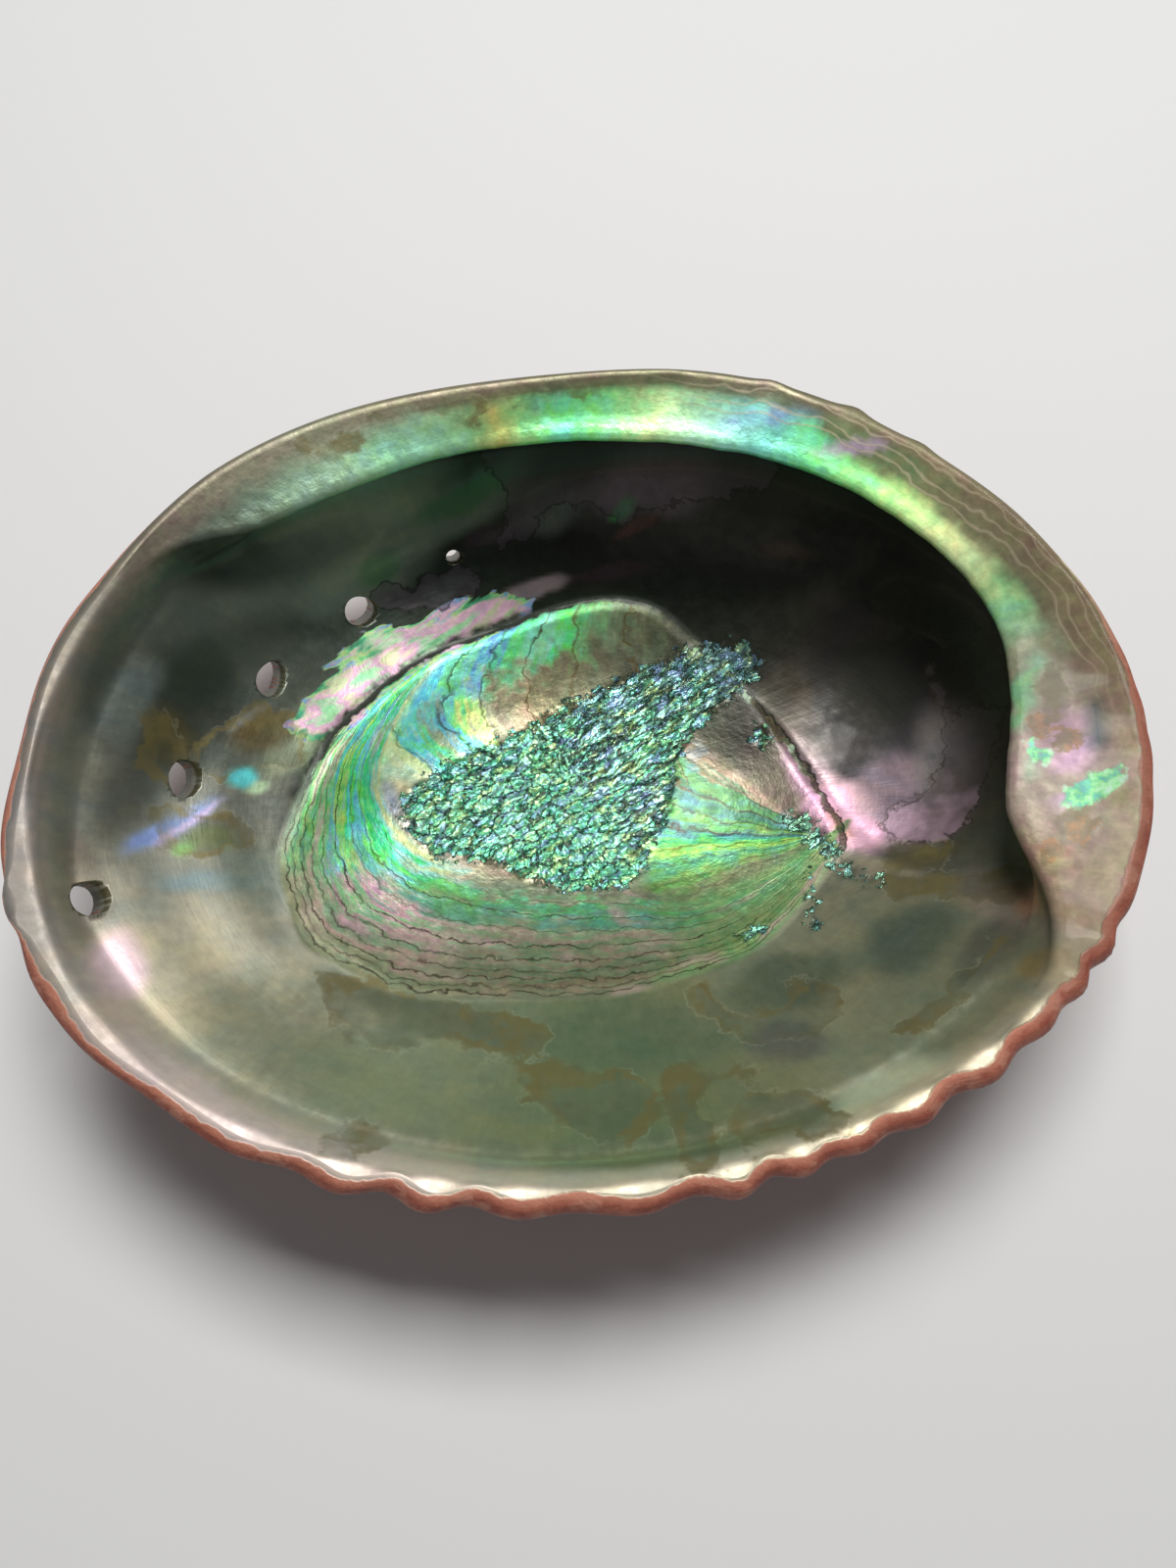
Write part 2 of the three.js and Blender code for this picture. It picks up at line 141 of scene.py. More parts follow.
def meridians(turns):
    """For each turn round the rim, the points (distance from the floor's middle, height) that the
    inside and the outside of the wall pass through."""
    angle = (np.degrees(turns) + 90) % 360 - 90
    rim = np.stack([rim_reach(turns) * np.cos(turns), rim_reach(turns) * np.sin(turns)], 1) - FLOOR
    reach = np.hypot(rim[:, 0], rim[:, 1])
    level = np.ones_like(reach)

    shelf_share = windowed(angle, -30, -6, 140, 160)
    steep_share = windowed(angle, -65, 15, 112, 178)
    shelf = (SHELF_WIDTH * windowed(angle, -60, -10, 144, 161)
             + SHELF_EXTRA_AT_SPIRE * hump(angle, -4, 18)
             + SHELF_EXTRA_AT_END * hump(angle, 130, 14))
    overhang = shelf_share * (SHELF_OVERHANG + SHELF_OVERHANG_AT_SPIRE * hump(angle, 0, 30))
    edge = reach - shelf
    back = edge + overhang

    lip_inside = [(u * reach, lip_height(u) * level) for u in (0, 0.22, 0.44, 0.62, 0.76, 0.86)]
    lip_inside += [(0.9 * reach, lip_height(0.892) * level), (reach - 6.3, -4.6 * level)]
    lip_inside += [(reach - 5.3, -2.6 * level), (reach - 4.3, -1.4 * level), (reach - 3.2, -0.9 * level)]
    shelf_inside = [
        (0 * reach, -CUP_DEPTH * level), (0.28 * back, -45.4 * level), (0.55 * back, -42.2 * level),
        (0.8 * back, -33.5 * level), (0.95 * back, -23 * level), (back, -15.5 * level),
        (edge + 0.45 * overhang, -10 * level), (edge + 0.4, -7.2 * level), (edge - 0.2, -5 * level),
        (edge + 0.35 * shelf, -3.4 * level), (reach - 1.5, 0 * level),
    ]
    lip_back = [(reach - 1.4, -1.5 * level), (reach, -3.4 * level), (reach - 0.9, -5.8 * level)]
    for u, wall in ((0.9, 3.2), (0.78, 3.6), (0.62, 4), (0.42, 4.3), (0.2, 4.5), (0, 4.5)):
        lip_back.append(lip_outside(u, reach, wall))
    shelf_back = [
        (reach - 0.4, -0.6 * level), (reach + 0.2, -2.4 * level), (reach, -7 * level),
        (0.978 * reach, -15.5 * level), (0.925 * reach, -26 * level), (0.8 * reach, -37 * level),
        (0.58 * reach, -45.4 * level), (0.28 * reach, -49.6 * level),
        (0 * reach, (-CUP_DEPTH - WALL_AT_FLOOR) * level),
    ]

    def blend(lip, far, share_at):
        points = []
        for i, (p, q) in enumerate(zip(lip, far)):
            share = share_at(i)
            points.append(np.stack([p[0] + (q[0] - p[0]) * share, p[1] + (q[1] - p[1]) * share], 1))
        return points

    def inside_share(i):
        return steep_share + (shelf_share - steep_share) * smooth(i, 2, 6)

    def outside_share(i):
        return shelf_share + (steep_share - shelf_share) * smooth(i, 1, 5)

    inside = blend(lip_inside, shelf_inside, inside_share)
    outside = blend(lip_back, shelf_back, outside_share)
    return rim / reach[:, None], inside, outside


def run_through(points, steps, floor_first):
    """A smooth curve through the points of every meridian, level at the floor's middle."""
    mirror = np.array([-1, 1])
    before = points[1] * mirror if floor_first else points[0]
    after = points[-1] if floor_first else points[-2] * mirror
    chain = [before] + points + [after]
    run = [points[0]]
    knots = [0.0]
    for i in range(1, len(points)):
        a, b, c, d = chain[i - 1:i + 3]
        for step in range(1, steps[i] + 1):
            t = step / steps[i]
            run.append(0.5 * (2 * b + (c - a) * t + (2 * a - 5 * b + 4 * c - d) * t * t
                              + (3 * b - a - 3 * c + d) * t ** 3))
            knots.append(i - 1 + t)
    return np.array(run), np.array(knots)


def on_spiral(x, y):
    distance = np.maximum(np.hypot(x - SPIRE[0], y - SPIRE[1]), 2)
    bearing = np.arctan2(y - SPIRE[1], x - SPIRE[0]) % (2 * math.pi)
    return distance, bearing - np.log(distance) / SPIRAL_GROWTH


def off_spiral_line(distance, turn, line_turn):
    gap = (turn - line_turn + math.pi) % (2 * math.pi) - math.pi
    return distance * gap * SPIRAL_GROWTH / math.hypot(1, SPIRAL_GROWTH)


def off_line(x, y, points):
    """Distance to a run of straight stretches, positive to the left of the way it is drawn."""
    nearest = np.full(np.shape(x), 1e9)
    side = np.ones(np.shape(x))
    for (x1, y1), (x2, y2) in zip(points[:-1], points[1:]):
        length = (x2 - x1) ** 2 + (y2 - y1) ** 2
        t = np.clip(((x - x1) * (x2 - x1) + (y - y1) * (y2 - y1)) / length, 0, 1)
        gap = np.hypot(x - x1 - t * (x2 - x1), y - y1 - t * (y2 - y1))
        turn = (x2 - x1) * (y - y1) - (y2 - y1) * (x - x1)
        closer = gap < nearest
        nearest = np.where(closer, gap, nearest)
        side = np.where(closer, np.where(turn < 0, -1.0, 1.0), side)
    return nearest, side


def curved(points, closed=False):
    """The points joined by a smooth curve, four stretches to each."""
    p = np.array(points, float)
    before = p[-1:] if closed else p[:1]
    after = p[:2] if closed else p[-1:]
    chain = np.concatenate([before, p, after])
    run = []
    for a, b, c, d in zip(chain[:-3], chain[1:-2], chain[2:-1], chain[3:]):
        for t in (0, 0.25, 0.5, 0.75):
            run.append(0.5 * (2 * b + (c - a) * t + (2 * a - 5 * b + 4 * c - d) * t * t
                              + (3 * b - a - 3 * c + d) * t ** 3))
    if not closed:
        run.append(p[-1])
    return run


def inside_outline(x, y, outline):
    """Distance to a closed outline, positive inside it."""
    closed = list(outline) + [outline[0]]
    nearest, _ = off_line(x, y, closed)
    within = np.zeros(np.shape(x), bool)
    for (x1, y1), (x2, y2) in zip(closed[:-1], closed[1:]):
        if y1 == y2:
            continue
        crosses = ((y1 > y) != (y2 > y)) & (x < x1 + (y - y1) * (x2 - x1) / (y2 - y1))
        within ^= crosses
    return np.where(within, nearest, -nearest)


def into_spire_hollow(x, y):
    past_run = (x - 47) * 0.875 + (y - 3) * 0.486
    past_turn = y + 16.2 - 0.16 * (x - 60)
    soften = 6
    return -soften * np.logaddexp(-past_run / soften, -past_turn / soften)


def row_bearing(hole):
    return math.atan2(hole["y"] - SPIRE[1], hole["x"] - SPIRE[0]) + math.atan(1 / SPIRAL_GROWTH)


def hole_outward(hole):
    outward = np.array([hole["x"], hole["y"], hole["height"]]) - HOLES_OPEN_TO
    return outward / np.linalg.norm(outward)


def hole_exit(hole):
    outward = hole_outward(hole)
    return dict(hole, x=hole["x"] + outward[0] * HOLE_LENGTH, y=hole["y"] + outward[1] * HOLE_LENGTH)


def out_of_hole(x, y, hole):
    bearing = row_bearing(hole)
    along = (x - hole["x"]) * math.cos(bearing) + (y - hole["y"]) * math.sin(bearing)
    across = -(x - hole["x"]) * math.sin(bearing) + (y - hole["y"]) * math.cos(bearing)
    return np.hypot(along / (hole["along"] / 2), across / (hole["across"] / 2))


def healed_holes():
    places = []
    distance, _ = on_spiral(HOLES[-1]["x"], HOLES[-1]["y"])
    for _ in range(HEALED_HOLES):
        distance = distance * HEALED_HOLE_STEP
        bearing = HOLE_ROW_TURN + math.log(distance) / SPIRAL_GROWTH
        places.append(dict(x=SPIRE[0] + distance * math.cos(bearing),
                           y=SPIRE[1] + distance * math.sin(bearing), along=5, across=5))
    return places


def inside_relief(x, y, z, from_rim):
    distance, turn = on_spiral(x, y)
    on_floor = smooth(-z, 6, 16)
    channel = (CHANNEL_DEPTH * hump(off_spiral_line(distance, turn, HOLE_ROW_TURN), 0, CHANNEL_HALF_WIDTH)
               * smooth(distance, 55, 85) * smooth(from_rim, 2, 9))
    hollow = into_spire_hollow(x, y)
    drop = (SPIRE_HOLLOW_DEPTH * (0.3 * smooth(hollow, -0.5, 2.5) + 0.7 * smooth(hollow, 0, 18))
            * smooth(x, 30, 44) * smooth(-z, 20, 34) * (1 - smooth(distance, 22, 40)))
    into_scar = inside_outline(x, y, curved(SCAR_EDGE, closed=True))
    upper_side = 0.1 + 0.9 * smooth(y + 0.5 * abs(x + 10), 5, 30) * (1 - 0.5 * smooth(x, 4, 24))
    scar = SCAR_RISE * smooth(into_scar, -1.2, 1.2) * (1 - smooth(into_scar, 2, 18)) * upper_side
    fold = (FOLD_HEIGHT * np.cos(2 * math.pi * from_rim / FOLD_PITCH)
            * windowed(from_rim, 5, 12, 30, 45) * smooth(-x, 20, 60))
    return channel + drop - (scar + fold) * on_floor


def outside_relief(x, y, z, flat_x, flat_y):
    distance, turn = on_spiral(x, y)
    flat_distance, flat_turn = on_spiral(flat_x, flat_y)
    from_worn_spot = np.hypot(x - WORN_SPOT[0], y - WORN_SPOT[1])
    on_shelf_edge = smooth(y + 0.35 * x, -8, 12) * (1 - smooth(-z, 4, 14))
    unevenness = 1 + CORD_UNEVENNESS * np.cos(7 * flat_turn + 1)
    wander = CORD_WANDER * np.sin(5 * flat_turn)
    cords = (CORD_HEIGHT * unevenness * np.cos(CORDS * flat_turn + wander)
             * smooth(flat_distance, 15, 70) * (1 - 0.85 * on_shelf_edge)
             * smooth(from_worn_spot, 0.4 * WORN_SMOOTH_REACH, WORN_SMOOTH_REACH))
    keel = (KEEL_HEIGHT * hump(off_spiral_line(distance, turn, HOLE_ROW_TURN), 0, 6)
            * smooth(distance, 45, 90))
    lips = sum(HOLE_LIP_HEIGHT * hump(out_of_hole(x, y, hole_exit(hole)), 1.25, 0.6) for hole in HOLES)
    lips = lips + sum(0.7 * HOLE_LIP_HEIGHT * hump(out_of_hole(x, y, hole), 0, 1.1)
                      for hole in healed_holes())
    bulge = SPIRE_BULGE * hump(distance, 0, SPIRE_BULGE_REACH)
    dome = SPIRE_DOME * hump(flat_distance, 0, 11)
    suture = (SUTURE_DEPTH * hump(off_spiral_line(flat_distance, flat_turn, SUTURE_TURN), 0, 1.8)
              * (1 - smooth(flat_distance, 24, 34)) * smooth(flat_distance, 3, 8))
    return cords + keel + lips + bulge + dome - suture


def push_out(points, amount):
    away = points - CUP_MIDDLE
    away = away / np.linalg.norm(away, axis=-1, keepdims=True)
    return points + away * amount[..., None]


def shell_rings():
    """Rings of points from the floor's middle inside, over the rim, to the middle outside. With
    each point go its place on the mouth's plane, its distance from the rim and its side."""
    turns = np.arange(AZIMUTHS) * 2 * math.pi / AZIMUTHS
    direction, inside, outside = meridians(turns)
    inner, inner_knots = run_through(inside, INNER_ROWS, True)
    outer, _ = run_through(outside, OUTER_ROWS, False)

    def place(run):
        flat = FLOOR + run[:, :, :1] * direction[None]
        return np.concatenate([flat, run[:, :, 1:]], 2)

    steps = np.linalg.norm(np.diff(outer, axis=0), axis=2)
    laid_flat = np.concatenate([np.cumsum(steps[::-1], axis=0)[::-1], np.zeros((1, AZIMUTHS))])
    outer_flat = FLOOR + laid_flat[:, :, None] * direction[None]
    inner_points = place(inner)
    outer_points = place(outer)
    rim_distance = outer[0, :, 0]
    from_rim = rim_distance[None] - inner[:, :, 0]

    at_lip = smooth(inner_knots, 8.46, 10)[:, None]
    rim_flat = np.broadcast_to(outer_flat[0][None], inner_points[:, :, :2].shape)
    x, y, z = np.moveaxis(inner_points, 2, 0)
    amount = (inside_relief(x, y, z, from_rim) * (1 - at_lip)
              + outside_relief(x, y, z, rim_flat[:, :, 0], rim_flat[:, :, 1]) * at_lip)
    amount[0] = 0
    inner_done = push_out(inner_points, amount)
    x, y, z = np.moveaxis(outer_points, 2, 0)
    amount = outside_relief(x, y, z, outer_flat[:, :, 0], outer_flat[:, :, 1])
    amount[-1] = 0
    outer_done = push_out(outer_points, amount)

    arc = np.concatenate([np.linalg.norm(np.diff(inner, axis=0), axis=2)[::-1].cumsum(0)[::-1],
                          np.zeros((1, AZIMUTHS))]) + np.linalg.norm(outer[0] - inner[-1], axis=1)
    points = np.concatenate([inner_done, outer_done])
    plan = np.concatenate([inner_points[:, :, :2], outer_flat])
    depth = np.concatenate([arc, -(laid_flat[:1] - laid_flat)])
    side = np.concatenate([np.zeros(len(inner)), np.ones(len(outer))])
    return points, plan, depth, side, inner_knots


def stitch(first, second):
    """Triangles between two rings of point numbers; one may be single or have half the points."""
    steps = max(len(first), len(second))
    faces = []
    for i in range(steps):
        a, b = first[i * len(first) // steps], first[(i + 1) * len(first) // steps % len(first)]
        c, d = second[i * len(second) // steps], second[(i + 1) * len(second) // steps % len(second)]
        if c != d:
            faces.append((a, c, d))
        if a != b:
            faces.append((a, d, b))
    return faces


def ripple(x, y, size, seed):
    """Soft random waves of about that size in millimetres, between -1 and 1."""
    random = np.random.default_rng(seed)
    table = random.uniform(-1, 1, (64, 64))
    u, v = x / size + 1000, y / size + 1000
    i, j = np.floor(u).astype(int), np.floor(v).astype(int)
    f, g = u - i, v - j
    f, g = f * f * (3 - 2 * f), g * g * (3 - 2 * g)
    a = table[i % 64, j % 64] * (1 - f) + table[(i + 1) % 64, j % 64] * f
    b = table[i % 64, (j + 1) % 64] * (1 - f) + table[(i + 1) % 64, (j + 1) % 64] * f
    return a * (1 - g) + b * g


def ragged(x, y, size, seed):
    """Ripples with two finer ones on top."""
    return (0.6 * ripple(x, y, size, seed) + 0.28 * ripple(x, y, size / 2.3, seed + 1)
            + 0.14 * ripple(x, y, size / 5, seed + 2))


# The inside's fine relief: the rough patch where the muscle held, and the steps that it left as it
# moved forward. Both are grown, and stand no more than half a millimetre high.

ROUGH_PATCH = [
    (-35, 2), (-29.5, 9), (-22, 14.5), (-12.5, 18.5), (-6.5, 22.5), (1.5, 26.5), (9.5, 30.5),
    (21.5, 35), (32, 36.5), (36, 33), (33.5, 27.5), (27, 22.5), (21, 16), (18.5, 8), (16.5, 0),
    (13, -8), (9, -13), (-6, -13.5), (-17.5, -8.5), (-29, -7),
]
ROUGH_GRAIN = math.radians(36)
RING_INNER_EDGE = [
    (-21, 41), (-30.5, 30), (-36.5, 19), (-39.5, 7.5), (-36.5, -2), (-29, -8), (-21.5, -10.5),
    (-16.5, -12.5), (-6, -14), (9, -14.5), (18.5, -16.5), (27.5, -14.5), (37.5, -10.5), (45.5, -5.5),
]
RING_OUTER_EDGE = [
    (-33, 31), (-41, 23.5), (-47, 15.5), (-51, 7.5), (-53.5, -1), (-55, -10.5), (-53, -19), (-49.5, -26.5),
    (-44, -30), (-37, -33.5), (-31, -35.5), (-22.5, -36), (-9.5, -36), (-0.5, -36), (8.5, -35),
    (17.5, -32.5), (24.5, -30.5), (30.5, -28), (36, -23.5), (44, -14.5), (49, -6.5),
]
RING_STEPS = [0.02, 0.12, 0.26, 0.41, 0.57, 0.7, 0.79, 0.87, 0.94, 1.0]
FAN_POINT = (47, -4.5)
FAN_STEPS = [150, 159, 168, 176, 183, 190, 197]
UPPER_STEPS = [-31, -22, -15.5, -7.5, 1, 12]


def ring_share(x, y):
    """0 on the scar rings' inner edge and 1 on their outer one."""
    inner, inner_side = off_line(x, y, curved(RING_INNER_EDGE))
    outer, outer_side = off_line(x, y, curved(RING_OUTER_EDGE))
    inner = inner * -inner_side
    outer = outer * outer_side
    return np.clip(inner / np.maximum(inner + outer, 0.5), -0.2, 1.2), inner, outer


def fan_bearing(x, y):
    return np.degrees(np.arctan2(y - FAN_POINT[1], x - FAN_POINT[0])) % 360


def upper_run(x, y):
    """Place across the curved lines above the rough patch, in millimetres."""
    middle = 24 + 0.35 * (x + 25)
    bow = 5 - 0.08 * (x + 25)
    return x + bow * (1 - ((y - middle) / 11) ** 2)


def cells(u, v, seed):
    """A random value for each grain of a broken surface, and the distance to the grain's border."""
    i, j = np.floor(u).astype(int), np.floor(v).astype(int)
    random = np.random.default_rng(seed)
    table = random.uniform(0, 1, (3, 128, 128))
    nearest = np.full(u.shape, 9.0)
    second = np.full(u.shape, 9.0)
    value = np.zeros(u.shape)
    for di in (-1, 0, 1):
        for dj in (-1, 0, 1):
            a, b = (i + di) % 128, (j + dj) % 128
            gap = np.hypot(i + di + table[0, a, b] - u, j + dj + table[1, a, b] - v)
            second = np.minimum(np.maximum(gap, nearest), second)
            value = np.where(gap < nearest, table[2, a, b], value)
            nearest = np.minimum(gap, nearest)
    return value, second - nearest


ROUGH_SPURS = [
    dict(line=[(42, -1), (46, -4), (48.5, -8)], half_width=1.5),
    dict(line=[(43, -12), (44, -18), (43, -23)], half_width=0.4),
    dict(line=[(30, -25), (34, -23)], half_width=0.2),
    dict(line=[(36, 18.5), (36.5, 16)], half_width=1.3),
    dict(line=[(48, -10), (52, -13), (56, -14)], half_width=0.5),
]


def into_rough(x, y):
    """Distance in millimetres into the rough patch or one of its spurs, negative outside them."""
    within = inside_outline(x, y, curved(ROUGH_PATCH, closed=True))
    for spur in ROUGH_SPURS:
        gap, _ = off_line(x, y, spur["line"])
        within = np.maximum(within, spur["half_width"] - gap)
    return within


def rough_relief(x, y):
    along = x * math.cos(ROUGH_GRAIN) + y * math.sin(ROUGH_GRAIN)
    across = -x * math.sin(ROUGH_GRAIN) + y * math.cos(ROUGH_GRAIN)
    streaked = smooth(along, -2, 14)
    along = along + 1.0 * ragged(x, y, 6, 21)
    across = across + 1.0 * ragged(x, y, 6, 31)
    knobs, border = cells(along / 2.2, across / 1.7, 41)
    ridges, gully = cells(along / 6.5, across / 1.6, 42)
    relief = (1 - streaked) * (0.9 * (knobs - 0.5) - 0.45 * (1 - smooth(border, 0, 0.3)))
    return relief + (0.25 + 0.75 * streaked) * (0.9 * (ridges - 0.5) - 0.5 * (1 - smooth(gully, 0, 0.3)))


def step_relief(run, steps, height, width):
    """Small steps, each rising slowly and falling sharply at its line."""
    relief = np.zeros_like(run)
    for line in steps:
        relief = relief + height * (smooth(run, line - width, line) * (run <= line))
    return relief


# The colours of the inside
# Nacre is thin plates of aragonite stacked by the animal; their thickness makes the colour, so each
# stretch of growth has its own. Brown films of shell skin are caught between the layers here and there.

def linear(colour):
    """An sRGB hex colour as linear red, green, blue."""
    channels = np.array([int(colour[i:i + 2], 16) for i in (0, 2, 4)]) / 255
    return np.where(channels <= 0.04045, channels / 12.92, ((channels + 0.055) / 1.055) ** 2.4)


def along_ramp(run, stops):
    places = [place for place, _ in stops]
    colours = np.array([linear(colour) for _, colour in stops])
    return np.stack([np.interp(run, places, colours[:, k]) for k in range(3)], -1)


SHELF_COLOURS = [
    (-20, "8a7f74"), (-13, "94806c"), (-6, "9c9084"), (2, "a3928e"), (9, "a09488"), (13, "94947f"), (16, "a8b498"),
    (20, "9cd4a4"), (24, "b4dca4"), (29, "dcecbc"), (35, "e0f4b8"), (41, "c8f4ac"), (47, "acf0a8"), (54, "94ecac"),
    (61, "94e0c8"), (66, "a8e8d8"), (72, "c0f0c8"), (79, "ccf4b8"), (86, "a4f4ac"), (93, "98f4bc"), (99, "acf0ac"),
    (104, "c8cc88"), (108, "a4d4a0"), (114, "a8dcba"), (121, "9ccfb0"), (128, "a4c4aa"), (135, "8aa490"),
    (142, "5f6e60"), (150, "5c645c"), (158, "727a6e"), (168, "858880"),
]
SHELF_END_PATCHES = [
    (82.5, 6, 5, 4, 70, "b494a8"), (80, 2, 3, 3, 0, "a88c9c"), (76.5, 13, 3, 9, -8, "8cc89c"), (85, 0, 3.5, 3, 40, "c8a8c4"),
    (80, -7, 2.5, 2, 0, "c9b0c4"), (79.5, -15, 3, 2, 0, "a88a70"), (77.5, -1, 2, 4, 0, "8fa890"),
]
# The islands there, each an outline with its colour: orange brown skin films and one bright green gleam.
ORANGE_ISLANDS = [
    [(76.5, 8), (80, 8.5), (81, 6), (84, 5), (84.5, 2.5), (81, 1.5), (79, 4), (76.5, 5)],
    [(81, -10.5), (85, -10), (86.5, -12), (84, -13), (83, -15.5), (80.5, -14.5), (81.5, -12)],
    [(77, -14), (79.5, -13.5), (79, -17), (77, -18)],
]
GREEN_ISLANDS = [
    [(80.5, -6.5), (83, -3.5), (87.5, -2), (90, -0.5), (90.5, -3.5), (88, -6.5), (84, -8.5), (81.5, -9)],
    [(76, 4.5), (78.5, 3), (80, 1), (78.5, -0.5), (76, 0.5)],
]
# Colours of the inside by the angle round the rim. The near-black ends, on the far side under the shelf, are painted
# shade; the pale grey at 200 to 220 degrees is partly a painted sheen.
LIP_COLOURS_AND_SHADE = [
    (100, "20281e"), (125, "252e26"), (140, "36423c"), (152, "545c56"), (163, "666c66"), (176, "7c7e78"),
    (188, "908f88"), (200, "aeaca2"), (210, "c0beb0"), (220, "bcbcaa"), (232, "a2a68f"), (245, "929880"),
    (258, "848c72"), (272, "7c8769"), (285, "7f876a"), (298, "888a6e"), (311, "929680"), (324, "94947e"),
    (337, "8c8c78"), (350, "807e70"), (365, "645d52"), (385, "3a3832"), (420, "22261e"), (460, "20281e"),
]
# The pale rolled margin inside the lip, by the angle round the rim: pale nacre, painted lighter as sheen where the
# lamp's highlight runs along the roll, most on the lower left.
LIP_MARGIN_COLOURS_AND_SHEEN = [
    (130, "8c8474"), (160, "8c8278"), (185, "a4989a"), (205, "b8aaa6"), (220, "dccccf"), (245, "dccece"),
    (270, "cec5ba"), (300, "d0c6b4"), (320, "ccc0ae"), (345, "b8a890"), (375, "a09078"), (420, "7a7260"), (490, "8c8474"),
]

# How far in from the edge the red shows, in millimetres, by the angle round the rim.
RED_EDGE = [
    (100, -2.5), (132, -2), (148, -0.6), (160, -0.2), (180, 0.0), (195, 0.2), (215, 0.8), (245, 1.1), (268, 1.6),
    (290, 1.4), (312, 1.7), (335, 2.1), (348, 2.7), (362, 2.3), (376, 1.1), (390, -0.8), (402, -2.5), (460, -2.5),
]

# Patches of colour: middle, half length, half width, turn in degrees, colour, strength.
PATCHES = [
    # the wall under the shelf, painted nearly black as the shade that the shelf casts on it, with its dim purple and
    # green gleams
    (26, 52, 50, 9, -4, "10160f", 0.95),
    (-46, 50, 24, 9, 35, "8c9a90", 0.95),
    (-28, 58, 20, 3.4, 24, "727e7c", 0.8),
    (60, 36, 14, 22, 30, "14160f", 0.95),
    (14, 64, 14, 5, 0, "6a5c68", 0.85),
    (-7, 61, 8, 4, 10, "5a6462", 0.7),
    (9.5, 60.4, 3.2, 1.8, 20, "2f8a4c", 0.9),
    (11.7, 57.2, 5, 1.2, 20, "5c3228", 0.6),
    (41, 52, 6, 1.6, -10, "46322a", 0.5),
    (-24, 61, 12, 1.8, 22, "366e48", 0.6),
    (-40, 49, 5, 2.4, 40, "2c7a4c", 0.6),
    (-20, 56.5, 5, 1.5, 25, "3f3040", 0.6),
    (5, 50, 10, 1.4, 4, "3a2430", 0.5),
    (-28, 47, 5, 2.2, 30, "26422f", 0.8),
    # round the scar's upper left end
    (-10, 47.5, 8, 1.8, 18, "a393a0", 0.7),
    (-51.5, 19, 2.2, 1.3, 0, "2f7fe0", 0.95),
    (-57, 8, 6, 4, 50, "9ea889", 0.5),
    (-52, 11, 4, 7, 10, "c0d0b0", 0.75),
    # the left of the inside: grey with a white haze that is painted sheen, brown stains, blue and lilac streaks
    (-74, 14, 13, 12, 60, "3d433f", 0.85),
    (-79, 14, 4, 9, -12, "808a8a", 0.7),
    (-70, 22, 4, 8, -20, "2f4440", 0.6),
    (-61, 12.5, 7, 4.5, 30, "6f5a2e", 0.85),
    (-57, 15, 4, 3, 30, "8a7844", 0.7),
    (-74, 9, 3, 6, 0, "6b5f3c", 0.7),
    (-63.5, 3.5, 3.2, 2.4, 0, "68dfe6", 0.95),
    (-60.5, 2, 3, 1.6, 20, "c9e0c0", 0.8),
    (-64, 15, 5, 1.0, 50, "a9b9d0", 0.6),
    (-73, -7, 9, 2.2, 42, "8ea6e0", 0.9),
    (-70.5, -6, 7, 0.9, 48, "d9c8ec", 0.9),
    (-70, -10.5, 2.6, 1.6, 30, "9fe08a", 0.8),
    (-66, -8, 4.5, 3, 10, "7d8a4e", 0.7),
    (-80, -3, 4, 9, -10, "5d5f5a", 0.6),
    (-66, -17, 9, 2.6, 10, "8aa6b4", 0.6),
    (-58, -14, 7, 8, 0, "6f7f78", 0.6),
    # painted sheen: the pale haze and a pink white highlight low on the left, near the lip
    (-68, -33, 11, 13, 30, "d0c8b6", 0.85),
    (-76, -33, 4.5, 8, 22, "ecd4e0", 0.85),
    (-51, -44, 17, 11, -22, "969682", 0.75),
    (-84, -20, 3.5, 12, 20, "84786e", 0.7),
    # the near side: olive and green, grey pink to the right
    (10, -44, 22, 7, 0, "5f7462", 0.6),
    (-28, -38, 18, 4.5, -14, "70755f", 0.7),
    (-35, -52, 16, 8, -15, "8f9a82", 0.6),
    (12, -58, 14, 6, 0, "768468", 0.6),
    (38, -34, 13, 6, 20, "5d6758", 0.8),
    (36, -45, 8, 4, 10, "5a5a66", 0.6),
    (58, -43, 13, 6, 38, "8c917c", 0.7),
    # a painted highlight on the nacre near the lower right rim
    (49, -56, 15, 5, 28, "dce0cc", 0.85),
    (59, -27, 10, 6, 30, "5c6a60", 0.8),
    (75, -22, 6, 10, 25, "a8958c", 0.8),
    (79, -25, 3.2, 9, 28, "cf9c80", 0.75),
    (70, -31, 9, 4, 45, "5c5852", 0.6),
    (75, -35, 3.5, 2.5, 30, "a58648", 0.7),
    (82, -12, 3, 4, 0, "a38a54", 0.6),
    # the spire's hollow, smooth and grey with purple; its upper part, under the shelf, is painted dark as shade
    (60, 14, 18, 30, 10, "2e2a2f", 0.95),
    (60, 28, 14, 12, 20, "23231c", 0.9),
    (48, 4, 5, 18, 24, "a08492", 0.85),
    # a painted pink highlight on the slope beyond the scar's step
    (53, 0, 6.5, 9, 30, "ffd2ea", 1.0),
    (50.5, -2, 2, 4, 25, "c99a80", 0.6),
    (66, 0, 9, 7, 20, "927a8a", 0.85),
    (61.5, -3, 4.5, 3, 20, "c6a0bc", 0.8),
    (57, -11, 8, 2.4, -15, "a8a08c", 0.7),
    (66, -9, 7, 2, 12, "6f6548", 0.8),
    (62, 5, 11, 8, 0, "7c6a7a", 0.8),
    (71, 9, 6, 13, 0, "7c7478", 0.85),
    (41, 25, 6, 8, 10, "504a40", 0.8),
    (45, 18, 5, 8, 25, "453f3a", 0.7),
    # behind and beside the rough patch
    (-36.5, 10, 3.4, 6, 10, "e0dcb0", 0.85),
    (-12, -12.5, 18, 5, -12, "77725f", 0.9),
    (-38, 4, 2.4, 4, 0, "b9c9e0", 0.5),
]
